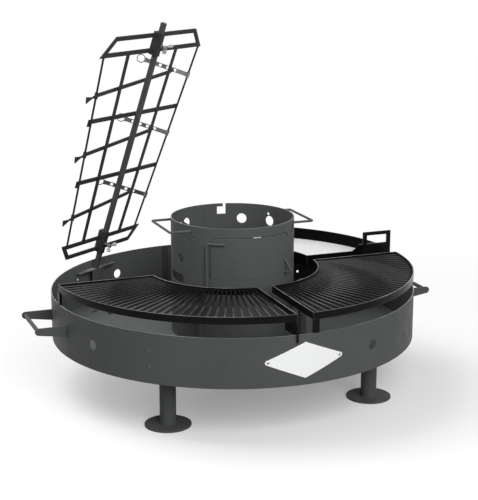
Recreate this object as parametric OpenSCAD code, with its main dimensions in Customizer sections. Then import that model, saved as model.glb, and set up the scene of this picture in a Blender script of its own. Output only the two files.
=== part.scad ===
// Fire pit grill: a round steel drum on four legs with a fire ring in the middle,
// two quadrant grates, a quadrant griddle and a leaning roasting rack.
// Millimetres, Z up, origin on the floor at the drum's axis, bare plate towards -Y.
// Angles round the drum are counted from -Y, positive towards +X.

/* [Drum] */
// Outer radius of the drum wall
drum_r = 600; // [520:10:720]
// Thickness of the drum's steel sheet
drum_t = 3; // [2:0.5:5]
// Height of the drum wall
drum_h = 155.4; // [130:0.1:190]
// Radius of each draught hole
vent_r = 16; // [10:1:20]
// Height of the draught holes above the drum's bottom edge
vent_rise = 78.5; // [60:0.5:95]
// Angle between a draught hole and the middle of its quadrant
vent_turn = 20.85; // [12:0.05:28]
// Radius of the paired accessory bolt holes
bolt_hole_r = 4.75; // [3:0.25:6]
// Distance between the two bolt holes of a pair
bolt_hole_pitch = 50.5; // [40:0.5:60]

/* [Legs] */
// Height of the drum's bottom edge above the ground
leg_h = 171; // [120:1:210]
// Outer radius of the leg tube
leg_r = 25.4; // [20:0.1:32]
// Wall of the leg tube
leg_t = 2.5; // [1.5:0.5:4]
// Distance of each leg's axis inside the drum's outer radius
leg_inset = 117; // [90:1:200]
// Radius of the foot disc
foot_r = 72; // [55:1:90]
// Thickness of the foot disc and of the top flange
foot_t = 5; // [3:0.5:8]
// Radius of the flange that carries the drum
flange_r = 55; // [48:1:65]
// Radius of the flange's bolt circle
flange_bolt_circle_r = 42; // [38:0.5:48]
// Radius of the flange bolts
flange_bolt_r = 4; // [3:0.5:5]

/* [Side handles] */
// Distance of each handle arm from the handle's middle
handle_half = 98; // [70:1:120]
// Thickness of a handle arm
handle_arm_t = 5; // [3:0.5:8]
// Height of a handle arm at the drum
handle_root_h = 39; // [30:1:50]
// Radius of the rounded end of a handle arm
handle_tip_r = 11.3; // [9:0.1:15]
// Reach of the grip's axis beyond the drum wall
handle_reach = 79.5; // [60:0.5:100]
// Radius of the round grip
grip_r = 6.5; // [5:0.5:9]

/* [Front plate] */
// Half of the front plate's width across its corners
plate_half_w = 124; // [90:1:140]
// Half of the front plate's height
plate_half_h = 55.3; // [40:0.1:65]
// Thickness of the front plate
plate_t = 2; // [1:0.5:3]
// Radius of a rivet's shank
rivet_r = 2; // [1.5:0.25:3]

/* [Fire ring] */
// Outer radius of the fire ring
ring_r = 203.4; // [170:0.1:240]
// Thickness of the fire ring's sheet
ring_t = 3; // [2:0.5:5]
// Height of the fire ring
ring_h = 384.7; // [340:0.1:460]
// Radius of the large holes in the fire ring
ring_hole_r = 17; // [12:0.5:20]
// Radius of the small holes in the fire ring
ring_small_hole_r = 5; // [3:0.5:7]
// Radius of the bar in the two lifting handles
ring_bar_r = 4; // [3:0.5:6]
// Half of the lifting handle's length
ring_handle_half = 95; // [70:1:120]
// Reach of the lifting handle beyond the fire ring
ring_handle_reach = 44; // [35:1:55]

/* [Door] */
// Half of the door's width, measured straight across
door_half_w = 133; // [100:1:145]
// Gap at the door's hinge side and top
door_gap = 3; // [2:0.5:5]
// Gap at the door's right and bottom edges, where it closes
door_fit = 0.6; // [0.4:0.1:2]
// Drop from the fire ring's top to the door's top edge
door_drop = 32.7; // [25:0.1:45]
// Clearance between the grates' top and the door's bottom edge
door_rise = 3.5; // [3:0.5:14]
// Radius of the door's rounded top corners
door_corner_r = 22; // [12:1:30]
// Radius of the hinge rod
hinge_rod_r = 4; // [3:0.5:5]
// Radius of the door handle's bar
door_bar_r = 3.5; // [3:0.5:5]

/* [Grates] */
// Rise of the grates' top above the drum's rim
grate_rise = 62.6; // [50:0.1:80]
// Free room between the fire ring and the inner edge of the grates
ring_room = 80; // [66:1:120]
// Distance of a straight side from the middle of the drum
grate_side = 25; // [18:1:35]
// Height of the grate's flat bands
band_h = 22; // [16:1:30]
// Thickness of the flat bands
band_t = 3; // [2:0.5:5]
// Number of channel bars in a grate
bar_count = 35; // [25:1:38]
// Angle from one channel bar to the next
bar_step = 2.38; // [2.2:0.01:2.45]
// Width of the slot between two channel bars
bar_slot = 7; // [5:0.5:9]
// Thickness of a channel bar's sheet
bar_t = 1.5; // [1:0.25:2]
// Slope of a channel bar's sides
bar_slope = 38; // [25:1:45]

/* [Griddle] */
// Depth of the griddle from its side lip to its cooking face
griddle_depth = 36; // [25:1:45]
// Thickness of the griddle's sheet
griddle_t = 3; // [2:0.5:5]
// Extra height of the griddle's outer wall
griddle_outer_lift = 5; // [0:1:12]
// Extra height of the raised part of its side walls
griddle_side_lift = 22; // [12:1:30]
// Width of the bar of the griddle's loop handles
loop_bar_w = 15; // [10:1:20]
// Thickness of the loop handles
loop_t = 5; // [3:0.5:6]
// Length of a loop handle
loop_len = 106; // [90:1:120]
// Height of a loop handle above the side lip
loop_rise = 64; // [50:1:80]

/* [Posts] */
// Radius of the inner posts
post_r = 12.5; // [9:0.5:16]
// Distance of the inner posts' axes from the inner edge of the grates
post_inset = 33.4; // [28:0.1:42]

/* [Roasting rack] */
// Place of the rack round the drum
rack_angle = -143.5; // [-150:0.5:-130]
// Lean of the rack towards the fire
rack_lean = 19.8; // [12:0.1:24]
// Width of the square spine
spine_w = 15; // [12:0.5:20]
// Length of the spine above the rack's zero line
spine_len = 902; // [860:1:1000]
// Wall of the two sleeves
sleeve_t = 2.5; // [2:0.5:4]
// Clearance on each side between a sleeve and the spine
sleeve_gap = 0.3; // [0.2:0.05:0.6]
// Width of the flat bars of the rack's loops
flat_w = 15; // [10:0.5:20]
// Thickness of the rack's flat bars
flat_t = 4; // [3:0.5:5]
// Width of the two inner upright flats
upright_w = 14; // [9:0.5:18]
// Radius of the two side rods
rod_r = 3.5; // [3:0.25:4.5]
// Height of the top loop's middle lines above the zero line, upper and lower
top_loop_v = [802, 856];
// Half widths of the top loop at those lines
top_loop_u = [266, 219];
// Height of the bottom loop's middle lines, lower and upper
low_loop_v = [48, 92];
// Half widths of the bottom loop at those lines
low_loop_u = [172, 204];
// Half distance between the side rods at their bottom and top ends
rod_u = [192, 265];
// Half distance between the inner uprights at their bottom and top ends
upright_u = [102, 134];
// Heights of the two crossbars
cross_v = [341, 569];
// Reach of a crossbar beyond the side rods
cross_over = 8; // [5:1:14]

/* [Clamps] */
// Heights of the three clamp arms at the side rod
arm_v = [211, 451, 665];
// Heights of the three ring straps at the side rod
strap_v = [224, 467, 689];
// Angles of the three ring straps from the rack's plane
strap_angle = [50, 54, 57];
// Width of a clamp arm
arm_w = 13; // [10:0.5:16]
// Thickness of a clamp arm
arm_t = 4; // [3:0.5:5]
// Width of a ring strap
strap_w = 15; // [12:0.5:20]
// Thickness of a ring strap
strap_t = 2.5; // [2:0.25:4]
// Distance of the finger ring from its hinge
strap_len = 173; // [150:1:190]
// Outer radius of the finger ring
finger_ring_r = 15.5; // [12:0.5:20]
// Distance of the first latch hole from the hinge
latch_start = 48; // [44:1:56]
// Distance from one latch hole to the next
latch_step = 27; // [22:1:30]
// Radius of a latch hole
latch_r = 5.5; // [4:0.25:6]
// Radial clearance of the hinge knuckles on the rods
knuckle_gap = 0.05; // [0.02:0.01:0.1]
// Wall of the hinge knuckles
knuckle_t = 2.5; // [2:0.25:4]
// Length of the hinge knuckles
knuckle_len = 20; // [14:1:26]
// Radius of the wing screws
screw_r = 4; // [3:0.5:5]

/* [Hidden] */
$fn = 48;
big_fn = 180;
steel = "#46484a";
dark_steel = "#35373a";
enamel = "#141517";
rack_grey = "#3f4143";
zinc = "#a9acaf";
polished = "#d6d8da";

floor_z = leg_h + drum_t;
rim_z = leg_h + drum_h;
drum_in_r = drum_r - drum_t;
corner_angles = [45, 135, -135, -45];
vent_angles = [for (a = corner_angles, s = [-1, 1]) a + s * vent_turn];

seam_angle = -175.8;
strip_w = 20;
strip_t = 4;
leg_circle_r = drum_r - leg_inset;
grate_inner_r = ring_r + ring_room;
post_circle_r = grate_inner_r - post_inset;

ring_z = floor_z;
ring_top = ring_z + ring_h;
ring_handle_z = ring_top - 17.7;

grate_top = rim_z + grate_rise;
band_z = grate_top - band_h;
grate_r = drum_r - 2;
edge_gap = 0.5;
support_t = 5;
hook_gap = 1;
seat_gap = 0.05;

door_top = ring_top - door_drop;
door_bottom = grate_top + door_rise;
rod_gap = 0.4;
hinge_r = ring_r + hinge_rod_r + rod_gap;
hinge_run = 2.5 * hinge_rod_r;
hinge_angle = -asin(door_half_w / ring_r) - 0.5;
hinge_top = door_top - 18;
knuckle_z = [grate_top - 90, grate_top - 48];
door_handle_angle = 35;
door_handle_reach = 32;

griddle_lip = grate_top + 1;
griddle_z = griddle_lip - griddle_depth - griddle_t;
griddle_r = drum_r - 10;
griddle_inner_r = grate_inner_r + 1.5;
griddle_side = grate_side + loop_t;
loop_start = drum_r - loop_len + 1;
loop_z = griddle_lip - 17;

spine_d = 11.6;
spine_back = spine_d - spine_w / 2;
flat_front = spine_back - sleeve_gap - sleeve_t;
flat_back = flat_front - flat_t;
rod_d = flat_back + rod_r;
rack_r = drum_r - 17.5;
rack_z = rim_z + 3.6;
rod_tilt = atan((rod_u[1] - rod_u[0]) / (rod_v1() - rod_v0()));
sleeve_len = [83, 79];
sleeve_back = 7.5;
sleeve_v = [low_loop_v[0] - 12, top_loop_v[0] - 15];
screw_v = [sleeve_v[0] + sleeve_len[0] / 2, sleeve_v[1] + sleeve_len[1] / 2];
sleeve_out = spine_w / 2 + sleeve_gap + sleeve_t;
nut_h = 6.5;
shelf_half = 100;
shelf_z = rim_z - 26.4;
shelf_t = 3;
socket_h = 60;
tongue_w = spine_w - 3;
tongue_gap = 0.4;
socket_back = tongue_w / 2 + tongue_gap + 0.6;
spine_foot_v = (shelf_z - rack_z + spine_d * sin(rack_lean)) / cos(rack_lean);
spine_foot_r = rack_r - spine_d * cos(rack_lean) - spine_foot_v * sin(rack_lean);

// Height range of the side rods, between the two loops
function rod_v0() = low_loop_v[1] + flat_w / 2;
function rod_v1() = top_loop_v[0] - flat_w / 2;
// Half distance between the side rods at a height on the rack
function rod_at(v) = rod_u[0] + (rod_u[1] - rod_u[0]) * (v - rod_v0()) / (rod_v1() - rod_v0());
// Half distance between the uprights at a height on the rack
function upright_at(v) =
  upright_u[0] + (upright_u[1] - upright_u[0]) * (v - rod_v0()) / (rod_v1() - rod_v0());

// Turns a shape built towards -Y to an angle round the drum
module at(angle) rotate([0, 0, angle]) children();

// Upright ring with an outer and an inner radius
module tube(r_out, r_in, h) difference() {
  cylinder(r = r_out, h = h, $fn = big_fn);
  translate([0, 0, -1]) cylinder(r = r_in, h = h + 2, $fn = big_fn);
}

// Round hole cutter through a wall, pointing outwards at a radius and height
module wall_drill(r, wall_r, z, depth = 30)
  translate([0, -wall_r, z]) rotate([90, 0, 0]) cylinder(r = r, h = depth, center = true);

// Round bar from one point to another
module bar(a, b, r) {
  d = b - a;
  translate(a)
    rotate([0, acos(d[2] / norm(d)), atan2(d[1], d[0])])
      cylinder(r = r, h = norm(d));
}

// Round bar from a to b that is bent once, near the corner c
module bent_bar(a, c, b, r, bend) translate(c) {
  u = (a - c) / norm(a - c);
  w = (b - c) / norm(b - c);
  half = acos(u * w) / 2;
  run = bend / tan(half);
  m = (u + w) / norm(u + w) * bend / sin(half);
  x = (u * run - m) / bend;
  n = cross(x, -u);
  bar(u * run, a - c, r);
  bar(w * run, b - c, r);
  multmatrix([
    [x[0], -u[0], n[0], m[0]],
    [x[1], -u[1], n[1], m[1]],
    [x[2], -u[2], n[2], m[2]]])
    rotate_extrude(angle = 180 - 2 * half) translate([bend, 0]) circle(r = r);
}

// Flat plate in the rack's own frame, from its outline and its back face
module rack_flat(back, t) translate([0, back + t, 0]) rotate([90, 0, 0]) linear_extrude(t) children();

// Places a shape built in the rack's own frame: x across, y towards the fire, z up the slope
module on_rack()
  rotate([0, 0, rack_angle]) translate([0, -rack_r, rack_z]) rotate([-rack_lean, 0, 0]) children();

// Plan outline of a quadrant piece between two radii and beyond a side distance
module quadrant(r_in, r_out, side) intersection() {
  difference() {
    circle(r = r_out, $fn = big_fn);
    circle(r = r_in, $fn = big_fn);
  }
  translate([side, -r_out - 1]) square([r_out + 1, r_out + 1 - side]);
}

// Drum

module drum_wall() color(steel) difference() {
  translate([0, 0, leg_h]) tube(drum_r, drum_in_r, drum_h);
  for (a = vent_angles) at(a) wall_drill(vent_r, drum_r, leg_h + vent_rise);
  for (a = corner_angles, s = [-1, 1])
    at(a) wall_drill(bolt_hole_r, drum_r, leg_h + vent_rise + s * bolt_hole_pitch / 2);
  for (s = [-1, 1]) at(s * rivet_turn()) wall_drill(rivet_r, drum_r, plate_z());
}

module drum_floor() color(dark_steel) difference() {
  translate([0, 0, leg_h]) cylinder(r = drum_in_r, h = drum_t, $fn = big_fn);
  leg_bolt_places() translate([0, 0, leg_h - 1]) cylinder(r = flange_bolt_r, h = drum_t + 2);
}

// Upright flat on the drum's inner wall, over its seam
module drum_seam_strip() color(dark_steel) at(seam_angle) intersection() {
  translate([0, 0, floor_z]) tube(drum_in_r, drum_in_r - strip_t, drum_h - drum_t);
  translate([-strip_w / 2, -drum_r, floor_z]) cube([strip_w, 60, drum_h]);
}

// Legs

module on_leg(i) at(corner_angles[i]) translate([0, -leg_circle_r, 0]) children();

module leg_bolt_places()
  for (i = [0:3], a = [0:90:270])
    on_leg(i) rotate([0, 0, a + 45]) translate([flange_bolt_circle_r, 0, 0]) children();

module leg_tube(i) color(steel) on_leg(i) translate([0, 0, foot_t]) difference() {
  cylinder(r = leg_r, h = leg_h - 2 * foot_t);
  translate([0, 0, -1]) cylinder(r = leg_r - leg_t, h = leg_h);
}

module leg_foot(i) color(steel) on_leg(i) cylinder(r = foot_r, h = foot_t, $fn = 72);

module leg_flange(i) color(steel) difference() {
  on_leg(i) translate([0, 0, leg_h - foot_t]) cylinder(r = flange_r, h = foot_t);
  leg_bolt_places() translate([0, 0, leg_h - foot_t - 1]) cylinder(r = flange_bolt_r, h = foot_t + 2);
}

module leg_bolts() color(zinc) leg_bolt_places() {
  head_h = 5.3;
  translate([0, 0, leg_h - foot_t - head_h]) cylinder(r = 1.8 * flange_bolt_r, h = head_h, $fn = 6);
  translate([0, 0, leg_h - foot_t]) cylinder(r = flange_bolt_r, h = foot_t + drum_t + 9);
  translate([0, 0, floor_z]) cylinder(r = 1.8 * flange_bolt_r, h = 6.5, $fn = 6);
}

// Side handles

// Height of a handle's root middle and of its grip's axis
function handle_root_z() = leg_h + 82.6;
function grip_z() = leg_h + 91;

module side_handle_arm(y) difference() {
  grip_x = drum_r + handle_reach;
  translate([0, y + handle_arm_t / 2, 0]) rotate([90, 0, 0]) linear_extrude(handle_arm_t) union() {
    translate([grip_x, grip_z()]) circle(r = handle_tip_r);
    polygon([
      [drum_r - 30, handle_root_z() - handle_root_h / 2],
      [grip_x, grip_z() - handle_tip_r],
      [grip_x, grip_z() + handle_tip_r],
      [drum_r - 30, handle_root_z() + handle_root_h / 2]]);
  }
  cylinder(r = drum_r, h = rim_z + 50, $fn = big_fn);
}

module side_handle_arms(turn) color(steel)
  rotate([0, 0, turn]) for (s = [-1, 1]) side_handle_arm(s * handle_half);

module side_handle_grip(turn) color(steel) rotate([0, 0, turn])
  translate([drum_r + handle_reach, 0, grip_z()]) rotate([90, 0, 0])
    cylinder(r = grip_r, h = 2 * handle_half - handle_arm_t, center = true);

// Front plate

function plate_z() = leg_h + 77.3;
function rivet_turn() = asin((plate_half_w - 10) / drum_r);

// Long diamond whose side corners are rounded
module plate_outline() {
  tip_r = 7;
  c = plate_half_w - tip_r;
  turn = 90 - atan(plate_half_h / c) + asin(tip_r / norm([c, plate_half_h]));
  tip = [for (i = [-4:4]) [c + tip_r * cos(i * turn / 4), tip_r * sin(i * turn / 4)]];
  polygon(concat([[0, -plate_half_h]], tip, [[0, plate_half_h]], [for (p = tip) -p]));
}

module front_plate() color(polished) difference() {
  intersection() {
    translate([0, 0, leg_h]) tube(drum_r + plate_t, drum_r, drum_h);
    translate([0, -drum_r + 30, plate_z()]) rotate([90, 0, 0]) linear_extrude(60)
      plate_outline();
  }
  for (s = [-1, 1]) at(s * rivet_turn()) wall_drill(rivet_r, drum_r, plate_z());
}

module front_plate_rivets() color(zinc) for (s = [-1, 1])
  at(s * rivet_turn()) translate([0, -drum_in_r, plate_z()]) rotate([90, 0, 0]) {
    cylinder(r = rivet_r, h = drum_t + plate_t);
    translate([0, 0, drum_t + plate_t]) intersection() {
      cylinder(r = 2 * rivet_r, h = rivet_r);
      translate([0, 0, -2 * rivet_r]) sphere(r = 3 * rivet_r);
    }
    translate([0, 0, -1.2]) cylinder(r = 1.7 * rivet_r, h = 1.2);
  }

// Inner posts that carry the inner edges of the grates and the griddle

saddle_t = 4;
function post_top(i) = i == 1 ? griddle_z : band_z;

module inner_posts() color(dark_steel) for (i = [0, 1, 3])
  at(corner_angles[i]) translate([0, -post_circle_r, floor_z])
    cylinder(r = post_r, h = post_top(i) - seat_gap - saddle_t - floor_z);

module post_saddles() color(dark_steel) for (i = [0, 1, 3])
  at(corner_angles[i]) translate([-post_r, -grate_inner_r - 16, post_top(i) - seat_gap - saddle_t])
    cube([2 * post_r, grate_inner_r + 16 - post_circle_r + post_r, saddle_t]);

// Socket on the drum wall that holds the rack's tongue

module rack_bracket() color(steel) at(rack_angle) difference() {
  union() {
    translate([0, 0, shelf_z - shelf_t]) intersection() {
      cylinder(r = drum_in_r, h = shelf_t, $fn = big_fn);
      translate([-shelf_half, -drum_r, 0]) cube([2 * shelf_half, drum_r - spine_foot_r + socket_back + shelf_t, shelf_t]);
    }
    translate([0, 0, shelf_z - socket_h]) intersection() {
      cylinder(r = drum_in_r, h = shelf_t, $fn = big_fn);
      translate([-30, -drum_r, 0]) cube([60, drum_r - spine_foot_r + socket_back + shelf_t, shelf_t]);
    }
    translate([-30, -spine_foot_r + socket_back, shelf_z - socket_h + shelf_t])
      cube([60, shelf_t, socket_h - 2 * shelf_t]);
  }
  translate([-tongue_w / 2 - tongue_gap, -spine_foot_r - tongue_w / 2 - tongue_gap, shelf_z - socket_h - 1])
    cube([tongue_w + 2 * tongue_gap, tongue_w + 2 * tongue_gap, socket_h + 2]);
}

// Fire ring

module ring_wall() color(steel) difference() {
  translate([0, 0, ring_z]) tube(ring_r, ring_r - ring_t, ring_h);
  // Door opening
  translate([0, -ring_r + 60, 0]) rotate([90, 0, 0]) linear_extrude(120)
    door_outline(door_gap, door_fit);
  // Large round holes, as placed round the ring
  for (h = [[150, 52.7], [-150, 52.7], [120, 52.7], [-66, 35], [54, 33]])
    at(h[0]) wall_drill(ring_hole_r, ring_r, ring_top - h[1]);
  // Small holes beside them
  for (h = [[121.6, 28.7], [-144.4 + 3, 49.2], [-57.9, 39]])
    at(h[0]) wall_drill(ring_small_hole_r, ring_r, ring_top - h[1]);
  // Lower row
  for (h = [-76, 76, 134]) at(h) wall_drill(ring_hole_r - 2, ring_r, ring_top - 116);
  // Long openings for the embers, low in the wall
  for (s = [-1, 1]) at(s * 84) translate([0, -ring_r + 30, ring_top - 182]) rotate([90, 0, 0])
    linear_extrude(60) round_slot(84, 30, 12);
  // Notch in the rim with its narrow entry
  at(170.2) translate([-15, -ring_r - 15, ring_top - 36.7]) cube([30, 30, 26]);
  at(167.3) translate([-4.8, -ring_r - 15, ring_top - 30]) cube([9.6, 30, 40]);
}

// Rectangle with rounded corners, drawn round its middle
module round_slot(w, h, r) {
  square([w - 2 * r, h], center = true);
  square([w, h - 2 * r], center = true);
  for (x = [-1, 1], y = [-1, 1]) translate([x * (w / 2 - r), y * (h / 2 - r)]) circle(r = r);
}

// Front view of the door, grown by a gap at the left and top and a closer fit at the right and bottom
module door_outline(grow, fit) {
  left = door_half_w + grow;
  right = door_half_w + fit;
  low = door_bottom - fit;
  high = door_top + grow;
  r_left = door_corner_r + grow;
  r_right = door_corner_r + fit;
  translate([-left, low]) square([left, high - low - r_left]);
  translate([-1, low]) square([right + 1, high - low - r_right]);
  translate([-left + r_left, low]) square([left - r_left + right - r_right, high - low]);
  translate([-left + r_left, high - r_left]) circle(r = r_left);
  translate([right - r_right, high - r_right]) circle(r = r_right);
}

// Bent bar handle whose ends are cut to the wall's curve
module ring_handle(turn) color(steel) rotate([0, 0, turn]) difference() {
  x = ring_r + ring_handle_reach;
  y = ring_handle_half;
  translate([0, 0, ring_handle_z]) for (s = [-1, 1])
    bent_bar([ring_r - 60, s * y, 0], [x, s * y, 0], [x, 0, 0], ring_bar_r, 2 * ring_bar_r);
  translate([0, 0, ring_z]) cylinder(r = ring_r, h = ring_h, $fn = big_fn);
}

// Two sleeves on the ring that the hinge rod turns in, the lower one closed at its foot
module hinge_sleeves() color(steel) difference() {
  sleeve_r = hinge_rod_r + 3;
  on_hinge() for (z = knuckle_z) {
    translate([0, 0, z]) cylinder(r = sleeve_r, h = 20);
    translate([-sleeve_r, 0, z]) cube([2 * sleeve_r, sleeve_r, 20]);
  }
  translate([0, 0, knuckle_z[0] - 1]) cylinder(r = ring_r, h = 90, $fn = big_fn);
  on_hinge() translate([0, 0, knuckle_z[0] + 3]) cylinder(r = hinge_rod_r + knuckle_gap, h = 90);
}

// Axis of the door's hinge
module on_hinge() at(hinge_angle) translate([-hinge_run, -hinge_r, 0]) children();

// Door

module door_panel() color(steel) intersection() {
  translate([0, 0, ring_z]) tube(ring_r, ring_r - ring_t, ring_h);
  translate([0, -ring_r + 110, 0]) rotate([90, 0, 0]) linear_extrude(150) door_outline(0, 0);
}

// Hinge rod whose top is bent over on to the door
module door_hinge_rod() color(steel) at(hinge_angle) {
  arc = 14;
  translate([-hinge_run, -hinge_r, 0])
    bent_bar([0, 0, knuckle_z[0] + 3], [0, 0, hinge_top], [hinge_run, 0, hinge_top],
      hinge_rod_r, hinge_run - 2);
  translate([0, 0, hinge_top]) rotate([0, 0, -90]) {
    rotate_extrude(angle = arc, $fn = big_fn) translate([hinge_r, 0]) circle(r = hinge_rod_r);
    // Weld pad between the bent end and the door
    rotate([0, 0, 6]) rotate_extrude(angle = arc - 7, $fn = big_fn)
      translate([ring_r, -2]) square([hinge_rod_r, 4]);
  }
}

// Bent bar handle: a slope out from the door and a short way back
module door_handle() color(steel) at(door_handle_angle) difference() {
  low = door_bottom + door_bar_r + 1;
  bent_bar([0, -ring_r + 9, low + (door_handle_reach + 9) * 4 / 3], [0, -ring_r - door_handle_reach, low],
    [0, -ring_r + 9, low], door_bar_r, door_bar_r + 2);
  translate([0, 0, ring_z]) cylinder(r = ring_r, h = ring_h, $fn = big_fn);
}

// Grates

module grate_frame(turn) color(enamel) at(turn) translate([0, 0, band_z]) linear_extrude(band_h)
  difference() {
    quadrant(grate_inner_r, grate_r, grate_side);
    quadrant(grate_inner_r + band_t, grate_r - band_t, grate_side + band_t);
  }

// Half width of a channel bar at a radius, so that the slots between bars keep one width
function bar_half(r) = (bar_step * PI / 180 * r - bar_slot) / 2;

// Radius at which a bar at an angle from the straight side comes clear of the side band
function bar_start(a) = (grate_side + band_t + 0.3 - bar_slot / 2) / (sin(a) - bar_step * PI / 360);

// One side of a channel bar: a plate that hangs from its level top edge down to the valley
module bar_side(r1, r2) {
  h1 = bar_half(r1);
  run = r2 - r1;
  edge = atan((bar_half(r2) - h1) / run);
  translate([h1, -r1, 0]) rotate([0, 0, edge]) rotate([0, -bar_slope, 0]) translate([0, 0, -bar_t])
    linear_extrude(bar_t) polygon([
      [0, 0],
      [0, -run / cos(edge)],
      [-(h1 * cos(edge) + run * sin(edge)) / cos(bar_slope), -run * cos(edge) + h1 * sin(edge)],
      [-h1 * cos(edge) / cos(bar_slope), h1 * sin(edge)]]);
}

module grate_bars(turn) color(enamel) at(turn) for (i = [0:bar_count - 1]) {
  a = 45 + (i - (bar_count - 1) / 2) * bar_step;
  r1 = max(grate_inner_r + band_t + 0.3, bar_start(min(a, 90 - a)));
  r2 = grate_r - band_t - 0.3;
  at(a) translate([0, 0, grate_top - 0.5]) {
    bar_side(r1, r2);
    mirror([1, 0, 0]) bar_side(r1, r2);
  }
}

// Outer supports of a quadrant piece: a post that stands on the rim at one side,
// and a plate that straddles the rim at the other
module outer_supports(top, side, r_seat) {
  // Post
  translate([0, 0, rim_z]) linear_extrude(top - rim_z) intersection() {
    difference() {
      circle(r = drum_r, $fn = big_fn);
      circle(r = drum_r - 8, $fn = big_fn);
    }
    translate([side, -drum_r]) square([20, 60]);
  }
  // Hook plate
  at(90) translate([-side, 0, 0]) rotate([90, 0, -90]) linear_extrude(support_t)
    difference() {
      x0 = r_seat - 83;
      slot_in = sqrt(pow(drum_in_r, 2) - pow(side + support_t, 2)) - hook_gap;
      slot_out = sqrt(pow(drum_r, 2) - pow(side, 2)) + hook_gap;
      polygon([
        [x0, top], [r_seat - 5, top], [drum_r + 8, top - 15], [drum_r + 8, rim_z - 22],
        [drum_r - 10, rim_z - 22], [drum_r - 20, rim_z - 6], [x0, rim_z - 6]]);
      translate([slot_in, rim_z - 40]) square([slot_out - slot_in, 40]);
    }
}

module grate_supports(turn) color(enamel) at(turn) outer_supports(band_z, grate_side, grate_r);

// Griddle

module griddle_pan() color(enamel) at(90) {
  wall_h = griddle_lip - griddle_z;
  inner = [griddle_inner_r + griddle_t, griddle_r - griddle_t, griddle_side + griddle_t];
  translate([0, 0, griddle_z]) difference() {
    linear_extrude(wall_h) quadrant(griddle_inner_r, griddle_r, griddle_side);
    translate([0, 0, griddle_t]) linear_extrude(wall_h) quadrant(inner[0], inner[1], inner[2]);
  }
  // Higher outer wall
  translate([0, 0, griddle_lip]) linear_extrude(griddle_outer_lift)
    difference() {
      quadrant(griddle_inner_r, griddle_r, griddle_side);
      quadrant(0, inner[1], 0);
    }
  // Raised outer part of each side wall
  griddle_side_wing();
  mirror([1, 1, 0]) griddle_side_wing();
}

// Raised wing of a side wall, whose top climbs in an S curve
module griddle_side_wing() {
  x0 = griddle_r - 138;
  x1 = griddle_r - 99;
  x2 = sqrt(pow(griddle_r, 2) - pow(griddle_side, 2)) - 0.3;
  rise = [for (i = [0:10]) [x0 + (x1 - x0) * i / 10, griddle_side_lift * (1 - cos(18 * i)) / 2]];
  translate([griddle_side + griddle_t, 0, griddle_lip]) rotate([90, 0, -90])
    linear_extrude(griddle_t) polygon(concat(rise, [[x2, griddle_side_lift], [x2, 0]]));
}

// Flat loop handle beside the outer end of a side wall
module griddle_loop() {
  loop_h = griddle_lip + loop_rise - loop_z;
  translate([griddle_side, 0, loop_z]) rotate([90, 0, -90]) linear_extrude(loop_t) difference() {
    translate([loop_start, 0]) square([loop_len, loop_h]);
    translate([loop_start + loop_bar_w, griddle_lip - loop_z + 20])
      square([loop_len - 2 * loop_bar_w, loop_rise - 20 - 0.8 * loop_bar_w]);
  }
}

module griddle_loops() color(enamel) at(90) {
  griddle_loop();
  mirror([1, 1, 0]) griddle_loop();
}

module griddle_supports() color(enamel) at(90) outer_supports(griddle_z, griddle_side, griddle_r);

// Roasting rack: the spine and the frame that slides on it

module rack_spine() color(rack_grey) {
  intersection() {
    on_rack() translate([-spine_w / 2, spine_d - spine_w / 2, -60]) cube([spine_w, spine_w, spine_len + 60]);
    translate([-2 * drum_r, -2 * drum_r, shelf_z]) cube([4 * drum_r, 4 * drum_r, 3 * spine_len]);
  }
  at(rack_angle)
    translate([-tongue_w / 2, -spine_foot_r - tongue_w / 2, shelf_z - socket_h - 5])
      cube([tongue_w, tongue_w, socket_h + 5]);
}

module rack_sleeves() color(rack_grey) on_rack() for (i = [0, 1]) difference() {
  hole = spine_w / 2 + sleeve_gap;
  translate([-sleeve_out, flat_back - sleeve_back, sleeve_v[i]])
    cube([2 * sleeve_out, spine_d + sleeve_out - flat_back + sleeve_back, sleeve_len[i]]);
  translate([-hole, spine_d - hole, sleeve_v[i] - 1]) cube([2 * hole, 2 * hole, sleeve_len[i] + 2]);
  screw_place(i) translate([0, 0, -10]) cylinder(r = screw_r + knuckle_gap, h = 20);
  // Slots that the loop's two flats pass through
  for (v = i == 0 ? low_loop_v : top_loop_v)
    translate([-2 * sleeve_out, flat_back, v - flat_w / 2]) cube([4 * sleeve_out, flat_t, flat_w]);
}

// Axis of a wing screw, pointing away from the sleeve's front face
module screw_place(i) translate([0, spine_d + sleeve_out, screw_v[i]]) rotate([-90, 0, 0]) children();

module rack_nuts() color(zinc) on_rack() for (i = [0, 1]) screw_place(i) difference() {
  cylinder(r = 1.8 * screw_r, h = nut_h, $fn = 6);
  translate([0, 0, -1]) cylinder(r = screw_r + knuckle_gap, h = nut_h + 2);
}

// Outline of a loop of flat bar with slanted ends, offset outwards from its middle line
module loop_outline(v, u, e) {
  slope = (u[1] - u[0]) / (v[1] - v[0]);
  side = e * sqrt(1 + slope * slope);
  low = u[0] - slope * e + side;
  high = u[1] + slope * e + side;
  polygon([[-low, v[0] - e], [low, v[0] - e], [high, v[1] + e], [-high, v[1] + e]]);
}

module rack_loop(v, u) color(rack_grey) on_rack() rack_flat(flat_back, flat_t) difference() {
  loop_outline(v, u, flat_w / 2);
  loop_outline(v, u, -flat_w / 2);
}

// Keeps what lies between the two loops
module between_loops() intersection() {
  children();
  translate([-400, -100, rod_v0()]) cube([800, 200, rod_v1() - rod_v0()]);
}

module rack_side_rods() color(rack_grey) on_rack() for (s = [-1, 1]) between_loops() {
  reach = 40;
  bar([s * rod_at(rod_v0() - reach), rod_d, rod_v0() - reach],
      [s * rod_at(rod_v1() + reach), rod_d, rod_v1() + reach], rod_r);
}

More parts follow.
